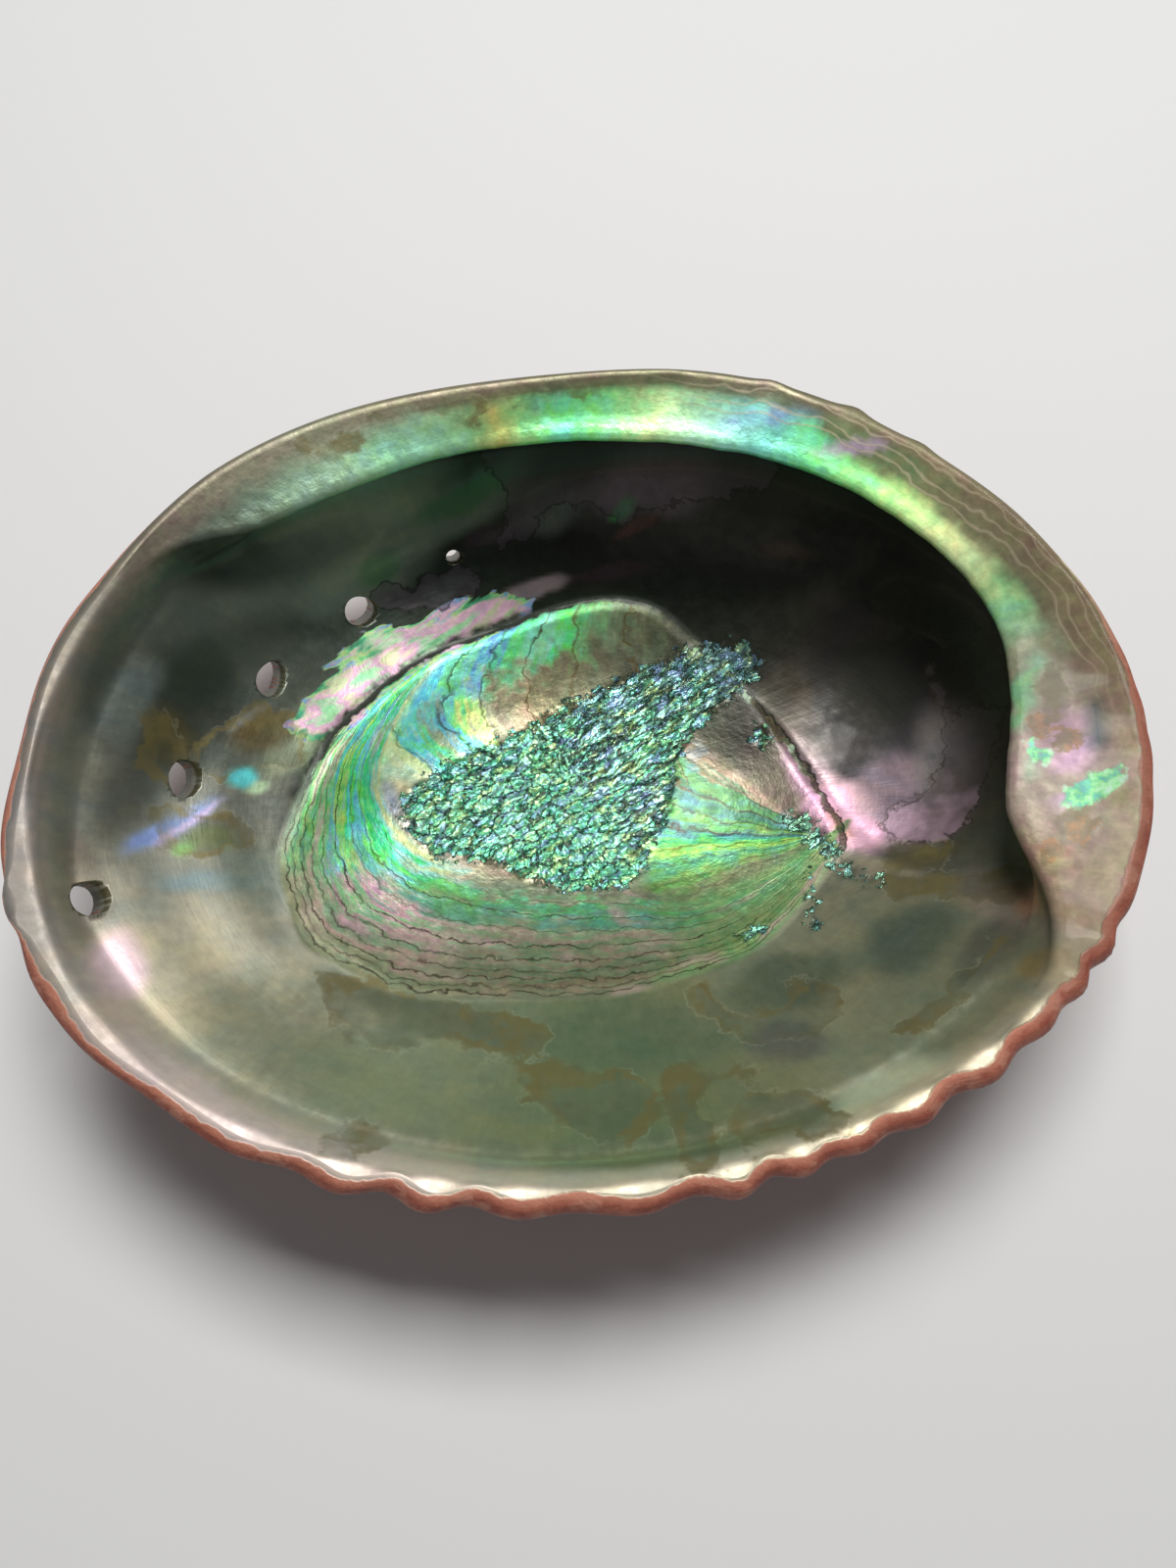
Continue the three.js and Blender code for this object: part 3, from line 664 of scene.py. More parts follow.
# Thin olive and brown films under the nacre, as closed outlines on the mouth's plane.
OLIVE_FILMS = [
    [(-48, -31), (-42, -32.5), (-29, -36), (-12, -40), (-5, -44), (-11, -48.5), (-20, -46), (-27, -45), (-33, -47),
     (-41, -43), (-46, -37)],
    [(-10, -49), (2, -49), (10, -51), (13, -56), (9, -62), (-2, -60), (-9, -55)],
    [(15, -50), (24, -49.5), (31, -50), (25, -53), (20, -55), (23, -66), (16, -66), (15, -58)],
    [(26, -57), (33, -53.5), (39, -55), (42, -60), (38, -62), (31, -60), (26, -64)],
    [(20, -36), (25, -42), (33, -44.5), (43, -42), (45, -37), (38, -33.5), (35, -38), (27, -40), (22, -34)],
    [(52, -44), (58, -40), (67, -32), (71, -27), (76, -29), (80, -32), (75, -37), (66, -38), (57, -44)],
    [(56, -15), (62, -13), (70, -15), (77, -14), (80, -18), (74, -21), (68, -19), (60, -19)],
    [(-68, 12), (-62, 18), (-55, 17), (-52, 11), (-56, 7), (-62, 6), (-66, 2), (-71, 6)],
    [(-79, 12), (-75, 13), (-72, 7), (-74, 1), (-78, 3)],
    [(-76, -4), (-70, -3), (-63, -4), (-61, -8), (-68, -13), (-75, -10)],
    [(-38.5, -60), (-35, -59), (-32, -60.5), (-31.5, -63), (-35, -65), (-39, -63.5)],
    [(60, -7), (66, -6.5), (69, -10), (64, -13), (58, -13)],
]
SHELF_FILMS = [
    [(80, 18), (84, 15), (83, 9), (79, 8), (78, 12)],
    [(81, -8), (86, -9), (85, -14), (80, -15), (78, -11)],
    [(-50, 58), (-44, 61), (-36, 64), (-38, 60), (-44, 57)],
    [(-28, 65.5), (-14, 68.5), (2, 70.5), (2, 69), (-14, 66.5), (-20, 64)],
]
# The gleam beyond the scar's upper edge: nacre painted light as a reflection where the slope faces the lamp.
GLEAM = [
    [(-56, 17), (-53.5, 24), (-48.5, 29.5), (-43.5, 34.5), (-40, 37), (-33.5, 39), (-29, 42.5), (-23.5, 45.5),
     (-16, 47), (-8, 46.5), (-12, 43), (-20, 39.5), (-26, 35), (-34, 27.5), (-43, 18), (-48, 13.5), (-52, 11.5)],
]
SPIRE_FILM = [
    [(68.5, 29), (70.5, 20), (70.5, 11), (67, 4.5), (60.5, 0.5), (58, -3.5), (60.5, -6), (66, -7.5), (72, -4),
     (76, 4), (79, 12), (79, 17), (75, 20), (73, 17), (71.5, 22)],
]
DARK_FILMS = [
    [(-18, 68), (-15, 61), (-18, 55), (-11, 56), (-8, 60), (2, 62), (9, 58.5), (14, 61), (24, 61), (36, 62), (36, 70), (8, 72)],
    [(-42, 44), (-37, 48), (-33, 46), (-29, 50), (-23, 51), (-20, 47), (-28, 44), (-35, 41)],
]


def inside_colours(x, y, z, rim_gap, angle):
    warp_x = x + 2.2 * ragged(x, y, 11, 3)
    warp_y = y + 2.2 * ragged(x, y, 11, 7)
    full_turn = np.where(angle < 100, angle + 360, angle)
    colour = along_ramp(full_turn + 3 * ragged(x, y, 9, 11), LIP_COLOURS_AND_SHADE)

    def lay(layer, share):
        nonlocal colour
        colour = colour + (layer - colour) * share[:, None]

    for px, py, along, across, turn, hue, strength in PATCHES:
        c, s = math.cos(math.radians(turn)), math.sin(math.radians(turn))
        u = ((warp_x - px) * c + (warp_y - py) * s) / along
        v = (-(warp_x - px) * s + (warp_y - py) * c) / across
        lay(linear(hue)[None], strength * (1 - smooth(np.hypot(u, v), 0.5, 1.2)))

    on_shelf = smooth(z, -8.5, -5.8) * windowed(angle, -26, -14, 150, 166)
    lay(along_ramp(angle + 1.4 * ragged(x, y, 7, 81), SHELF_COLOURS), on_shelf)
    for sx, sy, along, across, turn, hue in SHELF_END_PATCHES:
        c, s = math.cos(math.radians(turn)), math.sin(math.radians(turn))
        u = ((warp_x - sx) * c + (warp_y - sy) * s) / along
        v = (-(warp_x - sx) * s + (warp_y - sy) * c) / across
        spread = np.hypot(u, v) + 0.5 * ragged(x, y, 3.5, 17)
        lay(linear(hue)[None], 0.85 * smooth(z, -10, -6) * (1 - smooth(spread, 0.6, 1.0)))
    strip_width = 4.8 + 4 * windowed(angle, 4, 18, 44, 60)
    strip = 1 - smooth(rim_gap + 1.3 * ragged(x, y, 6, 91) - strip_width, -0.6, 0.6)
    lay(linear("716f58")[None], on_shelf * 0.9 * strip * windowed(angle, 4, 16, 118, 132))
    lay(linear("2d4652")[None], 0.9 * (1 - smooth(np.hypot((x - 88) / 2.2, (y - 6) / 5.5), 0.6, 1.1)))
    lay(linear("a0c0ea")[None], on_shelf * 0.6 * (1 - smooth(np.hypot((x - 33) / 11, (y - 64.6) / 1.7), 0.4, 1.2)))
    lay(linear("c9b0cf")[None], on_shelf * 0.7 * (1 - smooth(np.hypot((x - 49) / 8, (y - 58.5) / 1.2), 0.5, 1.2)))
    # the rolled margin's pale nacre with its painted sheen, widest on the lower left
    margin_width = 7 + 5 * windowed(full_turn, 195, 215, 250, 285)
    margin = 1 - smooth(rim_gap + 1.6 * ragged(x, y, 9, 95), 0.55 * margin_width, 1.3 * margin_width)
    lay(along_ramp(full_turn, LIP_MARGIN_COLOURS_AND_SHEEN), 0.85 * margin * (1 - windowed(angle, 20, 45, 100, 130) * smooth(rim_gap, 2.2, 3.2)))
    return colour


# Making the shell's mesh, in the frame of the CAD part.

points, plan, depth, side, inner_knots = shell_rings()
rim_turns = np.arange(AZIMUTHS) * 2 * math.pi / AZIMUTHS
turn_angles = (np.degrees(rim_turns) + 90) % 360 - 90
inner_count = len(inner_knots)

x, y, z = np.moveaxis(points, 2, 0)
inside = side[:, None] == 0
patch = into_rough(x, y)
share, ring_in, ring_out = ring_share(x, y)
rim_gap = np.where(inside, depth, 0)
on_floor = (z < -15) & inside
relief = rough_relief(x, y) * smooth(patch + 1.2 * ragged(x, y, 5, 101), -0.6, 1.2)
ring_mask = smooth(ring_in, 0.3, 2.5) * smooth(ring_out, -0.5, 2) * smooth(36 - y, 0, 6) * smooth(ring_in + ring_out, 3, 9)
relief = relief + step_relief(share + 0.012 * ragged(x, y, 4, 111), RING_STEPS[1:-1], 0.03, 0.06) * ring_mask
relief = np.where(on_floor, relief, 0)
relief = relief + np.where(inside, 0.18 * ragged(x, y, 11, 121) * smooth(rim_gap, 3, 8), 0)
on_shelf_top = inside & (z > -8) & (y + 0.9 * x > -10)
relief = relief + np.where(on_shelf_top, 0.3 * ragged(x, y, 5, 131) * smooth(rim_gap, 1.5, 4), 0)
points = push_out(points, -relief)

numbers = []
vertices = []
kept_plan, kept_depth, kept_side, kept_turn = [], [], [], []
row_total = len(points)
for row in range(row_total):
    reach = math.hypot(*(points[row, 0, :2] - FLOOR))
    skip = 1
    if reach < HALF_RING_REACH:
        skip = 2
    if reach < QUARTER_RING_REACH:
        skip = 4
    if row in (0, row_total - 1):
        skip = AZIMUTHS
    start = len(vertices)
    vertices.extend(points[row, ::skip])
    kept_plan.extend(plan[row, ::skip])
    kept_depth.extend(depth[row, ::skip])
    kept_side.extend([side[row]] * len(points[row, ::skip]))
    kept_turn.extend(turn_angles[::skip])
    numbers.append(list(range(start, len(vertices))))
vertices = np.array(vertices)
kept_plan, kept_depth = np.array(kept_plan), np.array(kept_depth)
kept_side, kept_turn = np.array(kept_side), np.array(kept_turn)
faces = []
for first, second in zip(numbers[:-1], numbers[1:]):
    faces.extend(stitch(first, second))

mouth_points = vertices.copy()


def lay_down(p):
    """From the mouth's frame to the shell at rest, still in millimetres."""
    x, y, z = np.moveaxis(np.asarray(p, float), -1, 0)
    c, s = math.cos(REST_TILT_TO_SPIRE), math.sin(REST_TILT_TO_SPIRE)
    x, z = x * c + z * s, -x * s + z * c
    c, s = math.cos(REST_TILT_TO_LIP), math.sin(REST_TILT_TO_LIP)
    y, z = y * c - z * s, y * s + z * c
    return np.stack([x, y, z], -1) + MOUTH_MIDDLE


laid = lay_down(vertices)
laid[:, 2] = np.maximum(laid[:, 2], 0)
mesh = bpy.data.meshes.new("shell")
mesh.from_pydata((laid * MM).tolist(), [], faces)
shell = bpy.data.objects.new("abalone_shell", mesh)
bpy.context.scene.collection.objects.link(shell)

HOLE_SIDES = 40
HOLE_DRILL_REACH = 11
plug_points, plug_faces = [], []
for hole in HOLES:
    middle = np.array([hole["x"], hole["y"], hole["height"]])
    outward = hole_outward(hole)
    bearing = row_bearing(hole)
    across = np.cross(outward, [math.cos(bearing), math.sin(bearing), 0])
    across = across / np.linalg.norm(across)
    along = np.cross(across, outward)
    start = len(plug_points)
    for end in (-1, 1):
        for i in range(HOLE_SIDES):
            t = 2 * math.pi * i / HOLE_SIDES
            spot = middle + outward * HOLE_DRILL_REACH * end
            wobble = 1 + 0.05 * math.sin(2 * t + hole["x"]) + 0.03 * math.sin(3 * t + hole["y"])
            spot = spot + along * math.cos(t) * hole["along"] / 2 * wobble + across * math.sin(t) * hole["across"] / 2 * wobble
            plug_points.append(spot)
    low = [start + i for i in range(HOLE_SIDES)]
    high = [start + HOLE_SIDES + i for i in range(HOLE_SIDES)]
    plug_faces.append(low[::-1])
    plug_faces.append(high)
    for i in range(HOLE_SIDES):
        j = (i + 1) % HOLE_SIDES
        plug_faces.append((low[i], low[j], high[j], high[i]))
plug_mesh = bpy.data.meshes.new("plugs")
plug_mesh.from_pydata((lay_down(plug_points) * MM).tolist(), [], plug_faces)
plugs = bpy.data.objects.new("plugs", plug_mesh)
bpy.context.scene.collection.objects.link(plugs)
drill = shell.modifiers.new("drill", "BOOLEAN")
drill.operation = "DIFFERENCE"
drill.solver = "EXACT"
drill.object = plugs
drilled = bpy.data.meshes.new_from_object(shell.evaluated_get(bpy.context.evaluated_depsgraph_get()))
shell.modifiers.clear()
shell.data = drilled
bpy.data.objects.remove(plugs)
mesh = shell.data

from mathutils.kdtree import KDTree
tree = KDTree(len(laid))
for i, spot in enumerate(laid * MM):
    tree.insert(spot, i)
tree.balance()
found = [tree.find(v.co) for v in mesh.vertices]
nearest = np.array([f[1] for f in found])
off_surface = np.array([f[2] for f in found])

px, py, pz = np.moveaxis(mouth_points[nearest], 1, 0)
p_depth, p_side, p_turn = kept_depth[nearest], kept_side[nearest], kept_turn[nearest]
hole_wall = off_surface > 0.25 * MM
p_depth = np.where(hole_wall & (p_depth < 0), 20, p_depth)
angle = np.degrees(np.arctan2(py, px))
angle = (angle + 90) % 360 - 90
paint = inside_colours(px, py, pz, np.abs(p_depth), angle)
paint[hole_wall] = linear("55503a")


def give(name, values):
    layer = mesh.attributes.new(name, "FLOAT", "POINT")
    layer.data.foreach_set("value", np.ascontiguousarray(values, np.float32))


def give_vector(name, values):
    layer = mesh.attributes.new(name, "FLOAT_VECTOR", "POINT")
    layer.data.foreach_set("vector", np.ascontiguousarray(values, np.float32).ravel())


colours = mesh.attributes.new("nacre_colour", "FLOAT_COLOR", "POINT")
colours.data.foreach_set("color", np.column_stack([paint, np.ones(len(paint))]).astype(np.float32).ravel())
share, ring_in, ring_out = ring_share(px, py)
within = inside_outline(px, py, curved(SCAR_EDGE, closed=True))
floor_side = ((p_side == 0) & (pz < -15)).astype(float)
apart = smooth(ring_in + ring_out, 1.5, 5)
ring_turn = np.arctan2(2 - py, -5 - px)
bearing = fan_bearing(px, py)
give("ring_share", share)
give_vector("ring_place", np.column_stack([35 * ring_turn, 18 * share, 0 * px]) * MM)
give("ring_mask", floor_side * smooth(ring_in, -1.5, 0.5) * smooth(ring_out, -1.2, -0.2) * smooth(44 - py, 0, 6))
give("ring_lines", floor_side * smooth(ring_in, -0.5, 0.3) * smooth(ring_out, -1.5, -0.5)
     * smooth(43 - py, 0, 3) * apart)
give("fan_bearing", bearing / 360)
give_vector("fan_place", np.column_stack([np.hypot(px - FAN_POINT[0], py - FAN_POINT[1]), bearing / 2, 0 * px]) * MM)
give("fan_mask", floor_side * smooth(px, 10, 15) * (1 - smooth(px, 42, 49)) * smooth(within, -1, 1)
     * smooth(ring_in, 0.5, -0.8) * windowed(bearing, 133, 141, 210, 220))
give("upper_run", upper_run(px, py) / 100 + 0.5)
give_vector("upper_place", np.column_stack([upper_run(px, py), py, 0 * px]) * MM)
give("upper_mask", floor_side * smooth(within, -0.4, 0.4) * smooth(py, 5, 9) * (1 - smooth(px, 26, 36))
     * smooth(ring_in, 0.5, -0.5))
give("scar_edge", within)
# the scar's upper left edge, where a dark line of painted shadow lies under its step
give("edge_shadow", floor_side * smooth(py + 0.5 * np.abs(px + 10), 12, 30) * (1 - smooth(px, 10, 24)))
# the scar's right edge: rough brown nacre, and a line of painted shade under its step
give("worn_and_shaded_edge", floor_side * smooth(px, 18, 32) * smooth(py, -14, -6))
give("rough", np.where(floor_side > 0, into_rough(px, py), -30))
grain = px * math.cos(ROUGH_GRAIN) + py * math.sin(ROUGH_GRAIN)
give("streaked", smooth(grain, -4, 13))
give("rim_depth", p_depth)
red_from = np.interp(np.where(p_turn < 100, p_turn + 360, p_turn), *np.transpose(RED_EDGE))
give("red_edge", red_from)
give("outside", np.where((p_side == 1) & ~hole_wall, 1, 0))
flat_place = kept_plan[nearest]
growth, cord_turn = on_spiral(flat_place[:, 0], flat_place[:, 1])
give("growth", growth / 100)
give("pale_edge", smooth(py + 0.35 * px, 12, 34) * (1 - smooth(px, 84, 93)))
turn_x, turn_y = 80 * np.cos(np.radians(p_turn)), 80 * np.sin(np.radians(p_turn))
give_vector("round_rim", np.column_stack([turn_x, turn_y, p_depth]) * MM)
shelf_shine = smooth(pz, -8.5, -6) * windowed(angle, -24, -12, 150, 166)
give("shine", np.where(p_side == 0, np.maximum(smooth(within, -1, 1), shelf_shine), 0))


def into_films(films, shows):
    deepest = np.full(len(px), -30.0)
    for film in films:
        deepest = np.maximum(deepest, inside_outline(px, py, curved(film, closed=True)))
    return np.where((p_side == 0) & ~hole_wall & shows, deepest, -30)


on_top_of_shelf = (pz > -12) & (angle > -30) & (angle < 150)
give("olive_film", np.maximum(into_films(OLIVE_FILMS, ~on_top_of_shelf), into_films(SHELF_FILMS, on_top_of_shelf)))
give("dark_film", into_films(DARK_FILMS, ~on_top_of_shelf))
give("gleam", into_films(GLEAM, ~on_top_of_shelf))
give("spire_film", into_films(SPIRE_FILM, ~on_top_of_shelf))
give("orange_island", into_films(ORANGE_ISLANDS, on_top_of_shelf))
give("green_island", into_films(GREEN_ISLANDS, on_top_of_shelf))
give("margin_lines", np.where(p_side == 0, windowed(angle, 2, 14, 64, 90), 0))
give("shelf_end", np.where(p_side == 0, smooth(pz, -9, -6) * windowed(angle, -34, -24, 24, 44), 0))


def node(tree, kind, inputs=(), **settings):
    """Adds a node. inputs pairs a socket's name or number with a value or another node's output."""
    made = tree.nodes.new(kind)
    for name, value in settings.items():
        setattr(made, name, value)
    for socket, value in inputs:
        if isinstance(value, bpy.types.NodeSocket):
            tree.links.new(value, made.inputs[socket])
        else:
            made.inputs[socket].default_value = value
    return made


material = bpy.data.materials.new("nacre")
material.use_nodes = True
tree = material.node_tree
tree.nodes.clear()
place = node(tree, "ShaderNodeTexCoord").outputs["Object"]


def field(name, output="Fac"):
    return node(tree, "ShaderNodeAttribute", attribute_name=name).outputs[output]


def sums(operation, a, b=0.0, c=0.0, clamp=False):
    return node(tree, "ShaderNodeMath", [(0, a), (1, b), (2, c)], operation=operation, use_clamp=clamp).outputs[0]


def noise_at(size_mm, detail=3, roughness=0.55, where=None):
    return node(tree, "ShaderNodeTexNoise", [("Vector", where or place), ("Scale", 1 / (size_mm * MM)), ("Detail", detail), ("Roughness", roughness)]).outputs["Fac"]


def span(value, low, high, to_low=0.0, to_high=1.0):
    return node(tree, "ShaderNodeMapRange", [("Value", value), ("From Min", low), ("From Max", high), ("To Min", to_low), ("To Max", to_high)], clamp=True, interpolation_type="SMOOTHSTEP").outputs[0]


def stretched(vector, scale, turn=0.0):
    return node(tree, "ShaderNodeMapping", [("Vector", vector), ("Rotation", (0, 0, turn)), ("Scale", scale)]).outputs[0]


def mixed(share, a, b, blend="MIX"):
    made = node(tree, "ShaderNodeMix", data_type="RGBA", blend_type=blend, clamp_factor=True)
    for socket, value in ((made.inputs[0], share), (made.inputs[6], a), (made.inputs[7], b)):
        if isinstance(value, bpy.types.NodeSocket):
            tree.links.new(value, socket)
        else:
            socket.default_value = value
    return made.outputs[2]


def rgba(colour):
    return (*linear(colour), 1)


def ramp_at(run, stops):
    """Colours along a run from 0 to 1."""
    made = node(tree, "ShaderNodeValToRGB", [("Fac", run)])
    elements = made.color_ramp.elements
    elements[0].position, elements[0].color = stops[0][0], rgba(stops[0][1])
    elements[1].position, elements[1].color = stops[-1][0], rgba(stops[-1][1])
    for spot, colour in stops[1:-1]:
        elements.new(spot).color = rgba(colour)
    return made.outputs["Color"]


def lines_at(run, stops, half_width):
    """1 on each of the stops along a run from 0 to 1, falling to 0 beside it."""
    made = node(tree, "ShaderNodeValToRGB", [("Fac", run)])
    elements = made.color_ramp.elements
    elements[0].position, elements[0].color = 0, (0, 0, 0, 1)
    elements[1].position, elements[1].color = 1, (0, 0, 0, 1)
    for stop, strength in stops:
        for offset, value in ((-half_width, 0), (0, strength), (half_width, 0)):
            spot = elements.new(min(max(stop + offset, 0), 1))
            spot.color = (value, value, value, 1)
    return made.outputs["Color"]


broad = noise_at(9, 3)
middle_noise = noise_at(2.4, 4)
fine = noise_at(0.7, 3)
rim_place = field("round_rim", "Vector")
across_rim = noise_at(1.3, 3, 0.6, stretched(rim_place, (1, 1, 0.13)))
along_rim = noise_at(1.1, 3, 0.6, stretched(rim_place, (0.12, 0.12, 1)))
shine_mask = field("shine")
object_parts = node(tree, "ShaderNodeSeparateXYZ", [("Vector", place)])
to_right = sums("ADD", object_parts.outputs[0], span(broad, 0.3, 0.7, -6 * MM, 6 * MM))
to_back = sums("ADD", object_parts.outputs[1], span(broad, 0.3, 0.7, 5 * MM, -5 * MM))

# where each stretch of the scar grew: rings to the left and below, a fan to the right, bands above
ring_place = field("ring_place", "Vector")
ring_wave = span(noise_at(4, 4), 0.3, 0.7, -0.025, 0.025)
ring_run = sums("ADD", field("ring_share"), ring_wave)
ring_bands = span(noise_at(1.0, 3, 0.6, stretched(ring_place, (0.08, 0.55, 1))), 0.3, 0.7, -0.11, 0.11)
band_run = sums("ADD", ring_run, ring_bands)
vivid_rings = ramp_at(band_run, [
    (0, "c2cfa0"), (0.08, "93cfc4"), (0.16, "5fcf86"), (0.25, "86dc92"), (0.33, "7cc0d8"), (0.42, "66cf84"),
    (0.52, "a9d884"), (0.6, "6cbccb"), (0.68, "7fd48e"), (0.76, "b9b6a8"), (0.84, "8fcf8c"), (0.92, "6fae88"),
    (1, "7f9a7c")])
pink_rings = ramp_at(band_run, [
    (0, "726e60"), (0.1, "707862"), (0.2, "748a6c"), (0.3, "66a87a"), (0.38, "8a9c92"), (0.46, "c6a2b0"),
    (0.54, "86b88c"), (0.62, "b79aa0"), (0.7, "7f9a7e"), (0.8, "b09a92"), (0.9, "8a927a"), (1, "7c8068")])
dull_rings = ramp_at(band_run, [
    (0, "6f7666"), (0.1, "7b8870"), (0.2, "66a67c"), (0.3, "64897a"), (0.4, "7a9276"), (0.5, "94887c"),
    (0.6, "70856a"), (0.7, "8a8070"), (0.8, "6b7c64"), (0.9, "7d7662"), (1, "646c58")])
ring_colour = mixed(span(to_back, -17 * MM, -3 * MM), pink_rings, vivid_rings)
ring_colour = mixed(span(to_right, -34 * MM, -12 * MM), ring_colour, dull_rings)
ring_colour = mixed(span(to_right, 6 * MM, 28 * MM, 0, 0.6), ring_colour, rgba("74a068"))
ring_colour = mixed(span(noise_at(7, 2, 0.5, stretched(ring_place, (0.5, 1, 1))), 0.55, 0.68, 0, 0.5),
                    ring_colour, rgba("b89a9c"))

fan_place = field("fan_place", "Vector")
fan_run = sums("ADD", field("fan_bearing"), span(noise_at(5, 3), 0.3, 0.7, -0.006, 0.006))
fan_streaks = span(noise_at(1.2, 3, 0.6, stretched(fan_place, (0.1, 1.1, 1))), 0.3, 0.7, -0.007, 0.007)
fan_colour = ramp_at(sums("ADD", fan_run, fan_streaks), [
    (0.37, "5c5a4a"), (0.395, "8a7a6c"), (0.41, "40684e"), (0.425, "50784c"), (0.44, "385c56"), (0.455, "366244"),
    (0.47, "5c864c"), (0.485, "46707c"), (0.497, "509c66"), (0.51, "8cb464"), (0.525, "5c9c7c"),
    (0.54, "7aa668"), (0.56, "7c8668"), (0.6, "6c745c")])
fan_colour = mixed(span(noise_at(6, 3), 0.52, 0.64, 0, 0.25), fan_colour, rgba("6694a8"))

upper_place = field("upper_place", "Vector")
upper_turn = sums("ADD", field("upper_run"), span(noise_at(6, 3), 0.3, 0.7, -0.015, 0.015))
upper_streaks = span(noise_at(1.3, 3, 0.6, stretched(upper_place, (0.9, 0.15, 1))), 0.3, 0.7, -0.02, 0.02)
upper_low = ramp_at(sums("ADD", upper_turn, upper_streaks), [
    (0.08, "b0dcc8"), (0.12, "c8ecd4"), (0.16, "e0f0c8"), (0.185, "d4e8b0"), (0.205, "84d4ec"), (0.225, "80dca0"),
    (0.25, "9ca88c"), (0.28, "80c8e0"), (0.3, "90e89c"), (0.325, "dceca4"), (0.345, "a8ac94"), (0.37, "85826e"),
    (0.4, "a09880"), (0.425, "b3a68a"), (0.45, "86836a"), (0.5, "7c7d66"), (0.55, "6f705c"), (0.62, "66685a"),
    (0.7, "4c4e42"), (0.8, "3c3e36")])
upper_high = ramp_at(sums("ADD", upper_turn, upper_streaks), [
    (0.1, "94e0b4"), (0.18, "94f0b0"), (0.24, "80ccec"), (0.28, "98f0a8"), (0.33, "84b8e4"), (0.37, "84e8a4"),
    (0.42, "9cecc4"), (0.45, "9cdcc0"), (0.48, "80ec98"), (0.53, "88b888"), (0.58, "84967a"), (0.64, "68705a"),
    (0.72, "4a4c40"), (0.8, "3c3e36")])
to_edge = sums("ADD", field("scar_edge"), span(noise_at(4, 3), 0.3, 0.7, -3, 3))
upper_colour = mixed(span(to_edge, 12, 5), upper_low, upper_high)

base = node(tree, "ShaderNodeAttribute", attribute_name="nacre_colour").outputs["Color"]
base = mixed(field("upper_mask"), base, upper_colour)
base = mixed(field("fan_mask"), base, fan_colour)
base = mixed(field("ring_mask"), base, ring_colour)

# the pink and green gleam beyond the scar's upper edge, ragged where the layer above has worn off: pink and green
# nacre, painted lighter as a reflection where the slope faces the light
gleam_place = stretched(stretched(place, (1, 1, 1), math.radians(-38)), (0.4, 1.3, 1))
gleam_run = sums("ADD", field("gleam"), span(noise_at(6, 3, 0.5, gleam_place), 0.3, 0.7, -2.2, 2.2))
gleam_hue = ramp_at(span(noise_at(4, 3, 0.5, gleam_place), 0.32, 0.68), [
    (0, "a4e0b8"), (0.25, "ccd4c8"), (0.45, "dcb8d4"), (0.7, "e8c8d8"), (1, "d0d8b8")])
gleam_edge = ramp_at(span(noise_at(3, 3, 0.5, gleam_place), 0.35, 0.65), [(0, "4fae88"), (0.3, "84d49c"), (0.55, "c4d89c"), (0.8, "78b4dc"), (1, "c4acd0")])
gleam_colour = mixed(span(gleam_run, 0.8, 2.2), gleam_edge, gleam_hue)
base = mixed(span(gleam_run, -0.2, 0.3), base, gleam_colour)

hue_swing = sums("MULTIPLY", sums("SUBTRACT", noise_at(3.2, 4), 0.5), sums("MULTIPLY_ADD", shine_mask, 0.2, 0.05))
light_swing = sums("MULTIPLY_ADD", span(noise_at(1.7, 4, 0.6), 0.3, 0.7, -1, 1), sums("MULTIPLY_ADD", shine_mask, 0.1, 0.04), 1.0)
clouds = span(noise_at(9, 4, 0.55, stretched(place, (1, 1.5, 1), 0.5)), 0.34, 0.66)
cloudy = mixed(sums("MULTIPLY", sums("SUBTRACT", 1.0, shine_mask), 0.5), base, mixed(clouds, rgba("8a9a94"), rgba("aaa890")), "OVERLAY")
lively = node(tree, "ShaderNodeHueSaturation", [
    ("Hue", sums("ADD", hue_swing, 0.5)), ("Saturation", sums("MULTIPLY_ADD", shine_mask, 0.18, 1.0)),
    ("Value", light_swing), ("Color", cloudy)]).outputs["Color"]
lively = mixed(span(across_rim, 0.35, 0.65, 0.0, 0.16), lively, rgba("d7dccb"), "SOFT_LIGHT")

brown_line = rgba("332f1c")
ring_lines = lines_at(ring_run, [
    (0.13, .45), (0.27, .8), (0.40, .6), (0.55, 1), (0.68, .8), (0.77, .7), (0.85, .9), (0.92, .7), (0.975, 1)], 0.012)
ring_dark = sums("MULTIPLY", ring_lines, field("ring_lines"))
fan_lines = lines_at(fan_run, [
    (d / 360, w) for d, w in ((146, .8), (156, 1), (166, .7), (173, .9), (181, 1), (188, .9), (195, .8), (203, .7))],
    0.0026)
fan_dark = sums("MULTIPLY", fan_lines, field("fan_mask"))
upper_lines = lines_at(upper_turn, [
    (0.5 + v / 100, w) for v, w in ((-31, .8), (-22, 1), (-15.5, .9), (-7.5, 1), (1, 1), (12, .9))], 0.0045)
upper_dark = sums("MULTIPLY", upper_lines, field("upper_mask"))
lines = sums("MAXIMUM", sums("MAXIMUM", ring_dark, fan_dark), upper_dark)
lines = sums("MULTIPLY", lines, span(noise_at(3, 3), 0.3, 0.55, 0.35, 1))
line_colour = mixed(sums("MULTIPLY", span(to_right, -16 * MM, -6 * MM), field("upper_mask")), brown_line, rgba("5c4a22"))
colour = mixed(sums("MULTIPLY", lines, 1.15, clamp=True), lively, line_colour)
